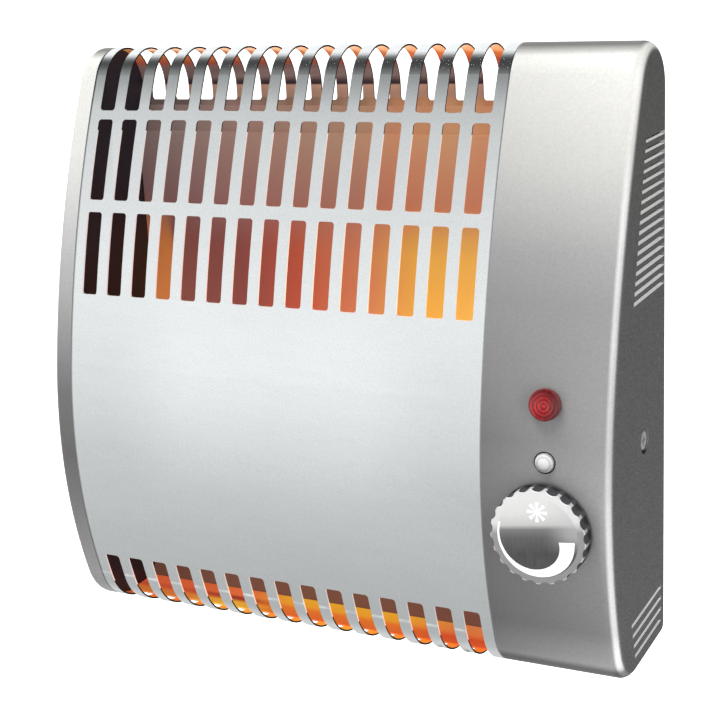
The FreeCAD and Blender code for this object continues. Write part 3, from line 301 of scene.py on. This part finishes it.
def curl_normal(tree, y, z):
    """Normal of the sheet, taken from the bottom curl's axis on the outside of that curl."""
    back = calc(tree, "SUBTRACT", y, CURL_AXIS[0])
    rise = calc(tree, "SUBTRACT", z, CURL_AXIS[1])
    spoke = add(tree, "ShaderNodeCombineXYZ", {"Y": back, "Z": rise}).outputs["Vector"]
    reach = add(tree, "ShaderNodeVectorMath", {0: spoke}, operation="LENGTH").outputs["Value"]
    spoke = add(tree, "ShaderNodeVectorMath", {0: spoke}, operation="NORMALIZE").outputs["Vector"]
    geometry = add(tree, "ShaderNodeNewGeometry").outputs
    facing = {0: geometry["True Normal"], 1: spoke}
    along = add(tree, "ShaderNodeVectorMath", facing, operation="DOT_PRODUCT").outputs["Value"]
    mask = product(tree, calc(tree, "GREATER_THAN", along, 0.5),
                   calc(tree, "GREATER_THAN", reach, CURL_RADIUS - 0.003),
                   calc(tree, "LESS_THAN", z, CURL_START), calc(tree, "LESS_THAN", back, 0.0))
    return mix(tree, mask, geometry["Normal"], spoke)


def sheet_shade(tree, x, z, speck):
    """Shading of the sheet: dark crown on the top curl, dark end seams, dimmer ends and underside."""
    crown = ramp(tree, span(tree, z, STRAIGHT_TOP, CROWN_TOP), greys([
        (0.0, 1.0), (0.30, 0.95), (0.68, 0.55), (0.80, 0.36), (0.87, 0.45), (0.92, 1.0)]))
    gap = span(tree, z, 0.09, 0.118, 0.3, 0.04)
    left = span(tree, x, GRILLE_LEFT + 0.0004, GRILLE_LEFT + 0.0012, gap, 1.0)
    right = span(tree, x, GRILLE_RIGHT - 0.0008, GRILLE_RIGHT - 0.0003, 1.0, 0.4)
    under = span(tree, z, -0.134, STRAIGHT_FOOT, 0.60, 1.0)
    fleck = span(tree, speck, 0.35, 0.65, 0.96, 1.035)
    ends = span(tree, distance(tree, x, GRILLE_MIDDLE), 0.04, 0.09, 0.0, 0.12, smooth=True)
    belt = product(tree, span(tree, z, -0.075, -0.045), span(tree, z, 0.0, 0.035, 1.0, 0.0))
    dim = calc(tree, "SUBTRACT", 1.0, product(tree, ends, belt))
    return scaled(tree, crown, product(tree, fleck, left, right, under, dim))


def grille_sheet():
    """Pale satin sheet metal with a faint rolled grain along X, with painted shade from sheet_shade, a
    painted glow on its inner side, a painted highlight along the bottom crease, and painted light and shade
    on the punched edges of the slots.
    """
    material, tree, shader = new_material("grille_sheet")
    vector, x, y, z = place(tree)
    aside, across, up = side_of(tree)
    rolled = noise(tree, vector, 260.0, 4.0, (0.25, 1.0, 1.0))
    speck = noise(tree, vector, 1500.0)
    broad = noise(tree, vector, 22.0)
    tone = span(tree, calc(tree, "ADD", rolled, broad), 0.6, 1.4)
    metal = mix(tree, tone, (0.80, 0.835, 0.84), (0.85, 0.88, 0.885))
    # Painted shade from sheet_shade
    base = scaled(tree, metal, sheet_shade(tree, x, z, speck))
    # Painted glow on the inner faces
    forward = product(tree, across, calc(tree, "SUBTRACT", y, CHAMBER_MIDDLE))
    outward = calc(tree, "ADD", forward, product(tree, up, z))
    inner = span(tree, outward, -0.012, -0.008, 1.0, 0.0)
    along, _, wall = painted_wall_glow(tree, vector, x, z)
    painted_light = painted_curl_glow(tree, along, wall, z)
    # Painted highlight along the crease of the bottom curl, broken up by noise
    highlight_strength = product(tree, span(tree, noise(tree, vector, 130.0), 0.40, 0.62, 0.15, 0.65),
                    span(tree, x, 0.066, 0.071, 1.0, 0.0))
    crease_highlight = span(tree, distance(tree, z, CURL_LINE), 0.0002, 0.0011, highlight_strength, 0.0)
    plain = mix(tree, crease_highlight, BLACK, (0.9, 0.92, 0.92))
    # Painted light on the punched edges of the slots in the straight part, painted shade on them in the
    # curls
    straight = product(tree, calc(tree, "LESS_THAN", z, STRAIGHT_TOP),
                       calc(tree, "GREATER_THAN", z, STRAIGHT_FOOT))
    ledge = product(tree, span(tree, up, 0.8, 0.9), straight)
    punched = calc(tree, "MAXIMUM", span(tree, aside, 0.7, 0.9), ledge)
    cut = mix(tree, straight, grey(0.05), (0.92, 0.92, 0.90))
    lit = mix(tree, straight, BLACK, (0.9, 0.9, 0.88))
    satin = span(tree, z, -0.124, -0.114, 0.15, 0.0)
    gloss = calc(tree, "ADD", span(tree, speck, 0.3, 0.7, 0.18, 0.20), satin)
    put(tree, shader.inputs["Base Color"], mix(tree, punched, mix(tree, inner, base, painted_light), cut))
    put(tree, shader.inputs["Emission Color"], mix(tree, punched, mix(tree, inner, plain, painted_light), lit))
    put(tree, shader.inputs["Roughness"], gloss)
    put(tree, shader.inputs["Normal"], bump(tree, rolled, 0.015, 0.00001, curl_normal(tree, y, z)))
    shader.inputs["Emission Strength"].default_value = 0.55
    shader.inputs["Metallic"].default_value = 0.95
    return material


def painted_height_levels(tree, z, painted_levels):
    """Painted shade and highlight levels that change over the body's height."""
    half = BODY_HEIGHT / 2.0
    stops = [(0.5 + height / BODY_HEIGHT, level) for height, level in painted_levels]
    return ramp(tree, span(tree, z, -half, half), greys(stops))


def silver_paint(name, painted_levels):
    """Silver paint with a fine metallic grain, with painted shade by height, towards the left and on faces
    lying flat, darker painted shade on the side face, a painted highlight along the front edge, a warmer
    tone near the top, and painted light on the vent sills.
    """
    material, tree, shader = new_material(name)
    vector, x, _, z = place(tree)
    outer, _, up = side_of(tree)
    flake = noise(tree, vector, 2600.0, 2.0)
    grain = noise(tree, vector, 900.0)
    broad = noise(tree, vector, 25.0)
    # Painted shade: darker towards the left end and on faces lying flat
    left = span(tree, z, -0.02, 0.03, 0.58, 0.86)
    sideways = span(tree, x, HOUSING_LEFT, HOUSING_RIGHT, left, 1.06)
    lying = span(tree, calc(tree, "ABSOLUTE", up), 0.78, 0.96, 1.0, 0.20)
    front = scaled(tree, painted_height_levels(tree, z, painted_levels), product(tree, sideways, lying))
    # Painted shade on the side face
    flank = product(tree, span(tree, z, -0.10, 0.12, 0.31, 0.22), span(tree, flake, 0.36, 0.64, 0.5, 1.5))
    grade = mix(tree, span(tree, outer, 0.86, 0.985), front, flank)
    # Painted highlight along the rounded front edge, its strength by height
    edge = product(tree, span(tree, outer, 0.38, 0.62), span(tree, outer, 0.84, 0.95, 1.0, 0.0))
    edge_highlight_gain = calc(tree, "MULTIPLY_ADD", edge, painted_height_levels(tree, z, EDGE_HIGHLIGHT_LEVELS), 1.0)
    tone = span(tree, calc(tree, "ADD", flake, grain), 0.7, 1.3)
    paint = mix(tree, tone, (0.57, 0.57, 0.574), (0.67, 0.668, 0.662))
    base = scaled(tree, paint, scaled(tree, grade, edge_highlight_gain))
    # Warmer tone near the top
    warm = scaled(tree, base, (1.0, 0.995, 0.955))
    base = mix(tree, span(tree, z, 0.055, 0.095), base, warm)
    # Painted light on the vent sills: bright colour and glow on their upward faces
    clear = calc(tree, "GREATER_THAN", distance(tree, z, SCREW_AXIS[1]), SCREW_REACH)
    sill_light_mask = product(tree, calc(tree, "GREATER_THAN", up, 0.7), clear,
                   calc(tree, "GREATER_THAN", x, VENT_PLANE), calc(tree, "LESS_THAN", z, VENT_TOP))
    put(tree, shader.inputs["Base Color"], mix(tree, sill_light_mask, base, PAINTED_SILL_LIGHT))
    put(tree, shader.inputs["Emission Color"], mix(tree, sill_light_mask, BLACK, PAINTED_SILL_LIGHT))
    put(tree, shader.inputs["Roughness"], span(tree, broad, 0.3, 0.7, 0.46, 0.52))
    put(tree, shader.inputs["Normal"], bump(tree, grain, 0.09, 0.00003))
    shader.inputs["Emission Strength"].default_value = 0.55
    shader.inputs["Metallic"].default_value = 0.6
    return material


def zinc_sheet(name, painted_glow=False):
    """Zinc-plated sheet with crystal spangle; the rear panel carries a painted glow on its front faces
    inside the chamber.
    """
    material, tree, shader = new_material(name)
    vector, x, _, z = place(tree)
    cells = add(tree, "ShaderNodeTexVoronoi", {"Vector": vector, "Scale": 300.0, "Randomness": 1.0})
    tone = add(tree, "ShaderNodeSeparateColor", {"Color": cells.outputs["Color"]}).outputs["Red"]
    base = mix(tree, tone, (0.54, 0.55, 0.56), (0.64, 0.65, 0.66))
    if painted_glow:
        # Painted glow on the front faces inside the chamber
        _, across, up = side_of(tree)
        front = calc(tree, "MAXIMUM", calc(tree, "LESS_THAN", across, -0.5),
                     calc(tree, "GREATER_THAN", up, 0.5))
        chamber = product(tree, front, calc(tree, "LESS_THAN", x, GRILLE_RIGHT))
        wall = painted_wall_glow(tree, vector, x, z)[2]
        base = mix(tree, chamber, base, wall)
        put(tree, shader.inputs["Emission Color"], mix(tree, chamber, BLACK, wall))
        shader.inputs["Emission Strength"].default_value = 0.6
    put(tree, shader.inputs["Base Color"], base)
    put(tree, shader.inputs["Roughness"], span(tree, tone, 0.0, 1.0, 0.32, 0.5))
    put(tree, shader.inputs["Normal"], bump(tree, noise(tree, vector, 700.0), 0.2, 0.00002))
    shader.inputs["Metallic"].default_value = 0.4 if painted_glow else 0.9
    return material


def reflector_sheet():
    """Sheet with a painted glow on its front faces for the heating rod's light: browns at the left, reds
    and ambers right and below; painted shade on the top flange's upper face and a plain colour on its back.
    """
    material, tree, shader = new_material("reflector_sheet")
    vector, x, y, z = place(tree)
    _, across, up = side_of(tree)
    along, cloud, upper = painted_wall_glow(tree, vector, x, z)
    lower = ramp(tree, along, [
        (0.0, (0.54, 0.175, 0.05)), (0.056, (0.54, 0.175, 0.05)), (0.073, (0.215, 0.071, 0.054)),
        (0.25, (0.215, 0.06, 0.050)), (0.41, (0.42, 0.078, 0.042)), (0.58, (0.534, 0.18, 0.087)),
        (0.72, (0.70, 0.36, 0.06)), (1.0, (0.75, 0.45, 0.10))])
    lower = scaled(tree, lower, span(tree, z, -0.002, 0.042, 1.28, 0.80))
    rows = mix(tree, span(tree, z, 0.035, 0.065, smooth=True), lower, upper)
    slope = ramp(tree, along, [
        (0.0, (0.12, 0.055, 0.035)), (0.4, (0.13, 0.055, 0.035)), (1.0, (0.12, 0.05, 0.035))])
    bend = span(tree, y, FOOT_LINE - 0.0002, FOOT_LINE + 0.0002)
    low = mix(tree, bend, painted_foot_glow(tree, along, y), slope)
    colour = mix(tree, span(tree, z, -0.078, -0.040, smooth=True), low, rows)
    # Painted shade on the top flange's upper face
    flange = product(tree, span(tree, up, 0.5, 0.7), span(tree, z, 0.05, 0.06), 0.30)
    colour = mix(tree, flange, colour, (0.05, 0.028, 0.024))
    behind = span(tree, across, 0.2, 0.5)
    put(tree, shader.inputs["Base Color"], mix(tree, behind, colour, (0.22, 0.17, 0.14)))
    put(tree, shader.inputs["Emission Color"], mix(tree, behind, colour, BLACK))
    put(tree, shader.inputs["Roughness"], span(tree, cloud, 0.3, 0.7, 0.3, 0.45))
    put(tree, shader.inputs["Normal"], bump(tree, noise(tree, vector, 160.0), 0.15, 0.0002))
    shader.inputs["Emission Strength"].default_value = 0.7
    shader.inputs["Metallic"].default_value = 0.4
    return material


def knob_dark():
    """Dark moulding with a painted highlight along the crests between the flutes."""
    material, tree, shader = new_material("knob_dark")
    vector, across, up, radius, y = about(tree, DIAL)
    fine = noise(tree, vector, 1200.0)
    turn = product(tree, calc(tree, "ARCTAN2", across, up), float(FLUTES))
    middle = span(tree, calc(tree, "COSINE", turn), -0.6, -0.85)
    outside = span(tree, radius, CREST_RADIUS, CREST_RADIUS + 0.0001)
    forward = span(tree, y, CREST_DEPTH, CREST_DEPTH - 0.0006)
    crest_highlight = product(tree, middle, outside, forward)
    dark = mix(tree, fine, (0.016, 0.016, 0.018), (0.034, 0.034, 0.037))
    light = mix(tree, fine, grey(0.22), grey(0.30))
    put(tree, shader.inputs["Base Color"], mix(tree, crest_highlight, dark, light))
    put(tree, shader.inputs["Roughness"], span(tree, fine, 0.3, 0.7, 0.28, 0.42))
    put(tree, shader.inputs["Normal"], bump(tree, fine, 0.2, 0.00002))
    return material


def snowflake(tree, across, up):
    """Eight-armed frost symbol, as a mask."""
    rise = calc(tree, "SUBTRACT", up, SYMBOL_RISE)
    arms = 0.0
    for step in range(SYMBOL_LINES):
        angle = math.pi * step / SYMBOL_LINES
        sine = math.sin(angle)
        cosine = math.cos(angle)
        line = calc(tree, "ADD", product(tree, across, sine), product(tree, rise, cosine))
        side = distance(tree, product(tree, across, cosine), product(tree, rise, sine))
        reach = calc(tree, "ABSOLUTE", line)
        half = calc(tree, "MULTIPLY_ADD", reach, ARM_TAPER, ARM_HALF)
        narrow = calc(tree, "LESS_THAN", side, half)
        short = calc(tree, "LESS_THAN", reach, SYMBOL_REACH)
        arms = calc(tree, "MAXIMUM", arms, product(tree, narrow, short))
    return arms


def heat_arc(tree, across, up, radius):
    """Widening arc from the left through the bottom to the right, as a mask."""
    left = product(tree, across, -1.0)
    down = product(tree, up, -1.0)
    angle = calc(tree, "ARCTAN2", down, left)
    share = span(tree, angle, ARC_START, ARC_END)
    outer = calc(tree, "MULTIPLY_ADD", calc(tree, "POWER", share, 5.0), -0.0015, ARC_OUTER)
    drop = calc(tree, "ADD", product(tree, share, 0.0007), product(tree, share, share, 0.00675))
    inner = calc(tree, "SUBTRACT", ARC_INNER, drop)
    tip = calc(tree, "MULTIPLY_ADD", across, 0.1, down)
    ended = calc(tree, "MAXIMUM", calc(tree, "GREATER_THAN", tip, ARC_TIP),
                 calc(tree, "LESS_THAN", across, 0.0))
    return product(tree, calc(tree, "LESS_THAN", radius, outer), calc(tree, "GREATER_THAN", radius, inner),
                   calc(tree, "GREATER_THAN", angle, ARC_START), ended)


def knob_bright():
    """Bright dial face: polished disc in a grey rim, both with a painted reflection that is light above a
    horizon line and dark below, a lighter painted patch on the disc's right, and the printed frost symbol
    and arc.
    """
    material, tree, shader = new_material("knob_bright")
    vector, across, up, radius, _ = about(tree, DIAL)
    fine = noise(tree, vector, 900.0, 3.0, (1.0, 1.0, 0.25))
    # Painted reflection: light above a horizon line, dark below
    height = span(tree, calc(tree, "MULTIPLY_ADD", across, -0.14, up), -DISC_REACH, DISC_REACH)
    disc = ramp(tree, height, [
        (0.0, grey(0.04)), (0.28, (0.025, 0.025, 0.026)), (0.5, grey(0.065)), (0.60, grey(0.13)),
        (0.66, (0.44, 0.44, 0.435)), (0.8, (0.56, 0.56, 0.555)), (1.0, (0.60, 0.60, 0.595))])
    # Painted reflection: a lighter patch towards the right
    painted_light = product(tree, span(tree, across, 0.002, 0.016, smooth=True), span(tree, up, -0.006, 0.002), 0.6)
    disc = mix(tree, painted_light, disc, grey(0.42))
    rim = ramp(tree, height, [
        (0.0, grey(0.20)), (0.55, grey(0.22)), (0.68, (0.56, 0.56, 0.555)), (1.0, (0.60, 0.60, 0.595))])
    face = mix(tree, span(tree, radius, DISC_RADIUS, DISC_RADIUS + 0.0004), disc, rim)
    face = mix(tree, span(tree, radius, FACE_RADIUS, FACE_RADIUS + 0.0004), face, (0.50, 0.50, 0.495))
    face = mix(tree, product(tree, fine, 0.16), face, grey(0.30))
    marks = calc(tree, "MAXIMUM", snowflake(tree, across, up), heat_arc(tree, across, up, radius))
    put(tree, shader.inputs["Base Color"], mix(tree, marks, face, (0.86, 0.86, 0.85)))
    put(tree, shader.inputs["Roughness"], span(tree, fine, 0.3, 0.7, 0.30, 0.38))
    put(tree, shader.inputs["Normal"], bump(tree, marks, 0.3, 0.00005))
    shader.inputs["Metallic"].default_value = 0.15
    return material


def lamp_red():
    """Clear red lens, lit from behind, with its rings, and painted shade towards its rim and right side and
    on its flank.
    """
    material, tree, shader = new_material("lamp_red")
    vector, across, _, radius, _ = about(tree, LAMP)
    wave = calc(tree, "SINE", product(tree, radius, 2.0 * math.pi / RING_PITCH))
    ring = calc(tree, "MULTIPLY_ADD", wave, 0.5, 0.5)
    cloud = noise(tree, vector, 420.0)
    tone = calc(tree, "MULTIPLY_ADD", cloud, 0.4, product(tree, ring, 0.6))
    front = mix(tree, tone, (0.055, 0.002, 0.003), (0.30, 0.012, 0.015))
    # Painted shade towards the rim and the right side, and on the flank
    shade = span(tree, calc(tree, "MULTIPLY_ADD", across, 0.35, radius), 0.0020, 0.0062, 1.15, 0.42)
    flank = span(tree, side_of(tree)[1], -0.75, -0.35)
    colour = mix(tree, flank, scaled(tree, front, shade), (0.075, 0.003, 0.004))
    put(tree, shader.inputs["Base Color"], colour)
    put(tree, shader.inputs["Emission Color"], colour)
    put(tree, shader.inputs["Roughness"], span(tree, cloud, 0.3, 0.7, 0.22, 0.32))
    shader.inputs["Emission Strength"].default_value = 0.15
    shader.inputs["Coat Weight"].default_value = 0.2
    return material


def index_white():
    """White domed stud with painted shade towards its shoulder and on its lower side."""
    material, tree, shader = surface("index_white", (0.50, 0.50, 0.495), rough=(0.2, 0.3), spread=0.03,
                                     relief=0.00001)
    _, _, up, radius, _ = about(tree, STUD)
    # Painted shade towards the shoulder, and darker on the lower side
    shade = ramp(tree, span(tree, radius, 0.0, STUD_RADIUS), greys([
        (0.0, 1.0), (0.5, 0.95), (0.7, 0.60), (0.85, 0.85), (1.0, 0.35)]))
    lower = span(tree, up, -0.003, 0.001, 0.7, 1.0)
    plain = shader.inputs["Base Color"].links[0].from_socket
    put(tree, shader.inputs["Base Color"], scaled(tree, plain, scaled(tree, shade, lower)))
    return material


def side_screw():
    """Plated screw; the cross recess in its head is painted as a dark cross of painted shade."""
    material, tree, shader = surface("side_screw", (0.36, 0.36, 0.355), metallic=0.3, rough=(0.35, 0.45),
                                     grain=1400.0)
    _, _, y, z = place(tree)
    level = distance(tree, y, SCREW_AXIS[0])
    plumb = distance(tree, z, SCREW_AXIS[1])
    # Painted shade in the cross recess
    narrow = calc(tree, "LESS_THAN", calc(tree, "MINIMUM", level, plumb), CROSS_HALF)
    short = calc(tree, "LESS_THAN", calc(tree, "MAXIMUM", level, plumb), CROSS_REACH)
    plain = shader.inputs["Base Color"].links[0].from_socket
    put(tree, shader.inputs["Base Color"], mix(tree, product(tree, narrow, short), plain, grey(0.14)))
    return material


def floor_material():
    """Pale studio floor."""
    material, tree, shader = new_material("studio_floor")
    tone = noise(tree, place(tree)[0], 1.2)
    colour = mix(tree, tone, grey(0.985), grey(1.0))
    put(tree, shader.inputs["Base Color"], colour)
    put(tree, shader.inputs["Emission Color"], colour)
    shader.inputs["Emission Strength"].default_value = 1.0
    shader.inputs["Roughness"].default_value = 0.9
    return material


def dress(material, *names):
    """Give CAD nodes a material."""
    for name in names:
        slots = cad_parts[name].data.materials
        slots.clear()
        slots.append(material)


def dress_plain(name, nodes, colour, **finish):
    """Give CAD nodes a plain worked surface."""
    dress(surface(name, colour, **finish)[0], *nodes)


def dress_outside():
    """Materials of the casing and of what shows on it."""
    dress(grille_sheet(), "front_grille")
    dress(silver_paint("housing_paint", HOUSING_SHADE), "control_housing")
    dress(silver_paint("cap_paint", CAP_SHADE), "left_end_cap")
    dress_plain("black_plate", ["left_side_plate"], (0.014, 0.0135, 0.021), rough=(0.45, 0.6), grain=700.0,
                spread=0.35, relief=0.00005)
    dress(zinc_sheet("rear_sheet", painted_glow=True), "rear_panel")
    dress(reflector_sheet(), "heat_reflector")
    dress(side_screw(), "side_screw_left", "side_screw_right")
    dress(knob_dark(), "knob_body")
    dress(knob_bright(), "knob_face")
    dress(lamp_red(), "lamp_lens")
    dress(index_white(), "index_stud")


def dress_inside():
    """Materials of the pieces inside the casing."""
    dress(zinc_sheet("zinc_sheet"), "partition_plate", "side_bracket", "thermostat_bracket")
    dress_plain("fin_metal", ["heating_fins"], (0.58, 0.56, 0.54), metallic=0.9, rough=(0.3, 0.42),
                grain=500.0, spread=0.1, relief=0.00003, stretch=(0.05, 1.0, 1.0))
    dress_plain("sheath_steel", ["heating_rod"], (0.33, 0.26, 0.21), metallic=0.9, grain=600.0, spread=0.2)
    screws = ["earth_screw", "dial_spindle", "lever_pin", "terminal_screw_1", "terminal_screw_2",
              "terminal_screw_3"]
    dress_plain("screw_steel", screws, (0.56, 0.56, 0.55), metallic=0.95, rough=(0.25, 0.4), grain=1400.0)
    bushes = ["ceramic_bush_left", "ceramic_bush_right"]
    dress_plain("ceramic", bushes, (0.80, 0.77, 0.69), rough=(0.55, 0.7), grain=1100.0, spread=0.08)
    contacts = ["element_pin_upper", "element_pin_lower", "thermostat_bush", "bush_nut", "setting_lever",
                "contact_blade", "thermostat_tab_1", "thermostat_tab_2", "cutout_tab_1", "cutout_tab_2",
                "lamp_tab_1", "lamp_tab_2"]
    dress_plain("brass", contacts, (0.70, 0.50, 0.20), metallic=0.95, rough=(0.25, 0.4))
    dark = ["thermostat_body", "thermostat_cover", "overheat_cutout", "cable_gland", "lamp_holder"]
    dress_plain("dark_moulding", dark, (0.022, 0.022, 0.025), grain=800.0, spread=0.25)
    pale = ["terminal_block", "setting_cam"]
    dress_plain("pale_moulding", pale, (0.74, 0.72, 0.64), rough=(0.4, 0.55), grain=800.0, spread=0.06)
    dress_plain("lamp_glass", ["lamp_bulb"], (0.80, 0.55, 0.42), rough=(0.05, 0.12), grain=600.0,
                spread=0.1)
    sleeve = {"rough": (0.4, 0.55), "spread": 0.15}
    brown = ["lead_live", "lead_switched", "lead_cutout", "lead_lamp_switched"]
    dress_plain("lead_brown", brown, (0.10, 0.04, 0.02), **sleeve)
    dress_plain("lead_blue", ["lead_neutral", "lead_lamp_neutral"], (0.02, 0.07, 0.30), **sleeve)
    dress_plain("lead_green", ["lead_earth"], (0.08, 0.26, 0.03), **sleeve)


def make_camera():
    """Camera at the photograph's angle."""
    data = bpy.data.cameras.new("camera")
    data.sensor_width = SENSOR
    data.lens = LENS
    data.clip_start = 0.01
    data.clip_end = 50.0
    camera = bpy.data.objects.new("camera", data)
    ahead = CAMERA_AHEAD.normalized()
    up = CAMERA_RIGHT.normalized().cross(ahead).normalized()
    right = ahead.cross(up)
    turn = Matrix((right, up, -ahead)).transposed().to_4x4()
    camera.matrix_world = Matrix.Translation(CAMERA_AT) @ turn
    scene.collection.objects.link(camera)
    scene.camera = camera


def softbox(name, place_at, aim, width, height, power):
    """Rectangular soft light aimed at a point, without its own reflection."""
    data = bpy.data.lights.new(name, "AREA")
    data.shape = "RECTANGLE"
    data.size = width
    data.size_y = height
    data.energy = power
    light = bpy.data.objects.new(name, data)
    light.location = place_at
    light.rotation_mode = "QUATERNION"
    light.rotation_quaternion = (Vector(aim) - Vector(place_at)).to_track_quat("-Z", "Y")
    light.visible_glossy = False
    scene.collection.objects.link(light)


def make_world():
    """Soft studio surroundings: bright at eye level in front, dark above and behind."""
    world = bpy.data.worlds.new("studio")
    world.use_nodes = True
    scene.world = world
    tree = world.node_tree
    direction = add(tree, "ShaderNodeTexCoord").outputs["Generated"]
    parts = add(tree, "ShaderNodeSeparateXYZ", {"Vector": direction}).outputs
    stops = [(0.5 + 0.5 * math.sin(math.radians(angle)), level) for angle, level in STUDIO_LEVELS]
    height = ramp(tree, span(tree, parts["Z"], -1.0, 1.0), greys(stops))
    behind = product(tree, span(tree, parts["Y"], -0.1, 0.5, 0.0, 0.8, smooth=True),
                     span(tree, parts["X"], -0.35, 0.05, smooth=True))
    wall = product(tree, span(tree, parts["Y"], 0.0, 0.25), span(tree, parts["X"], -0.3, 0.0, 1.0, 0.0))
    background = tree.nodes["Background"]
    put(tree, background.inputs["Color"], mix(tree, wall, height, grey(1.0)))
    put(tree, background.inputs["Strength"], calc(tree, "SUBTRACT", 1.0, behind))


def make_floor():
    """Pale floor that rises to a wall all round, seen by the camera only."""
    points = []
    for radius, height in FLOOR_PROFILE:
        for step in range(FLOOR_SIDES):
            angle = 2.0 * math.pi * step / FLOOR_SIDES
            points.append((radius * math.cos(angle), radius * math.sin(angle), height))
    faces = []
    for ring in range(len(FLOOR_PROFILE) - 1):
        start = ring * FLOOR_SIDES
        above = start + FLOOR_SIDES
        for step in range(FLOOR_SIDES):
            after = (step + 1) % FLOOR_SIDES
            faces.append((start + step, start + after, above + after, above + step))
    mesh = bpy.data.meshes.new("studio_floor")
    mesh.from_pydata(points, [], faces)
    mesh.materials.append(floor_material())
    floor = bpy.data.objects.new("studio_floor", mesh)
    floor.visible_diffuse = False
    floor.visible_glossy = False
    floor.visible_shadow = False
    scene.collection.objects.link(floor)


def make_studio():
    """Pale floor, soft light from the upper left front, and an edge light from the right."""
    make_world()
    make_floor()
    softbox("key_light", (-0.42, -0.55, 1.95), (0.0, 0.0, 0.0), width=1.2, height=0.8, power=110.0)
    softbox("edge_light", (1.45, -0.80, -0.05), (0.1, -0.05, 0.0), width=0.6, height=1.8, power=26.0)


make_camera()
make_studio()
dress_outside()
dress_inside()
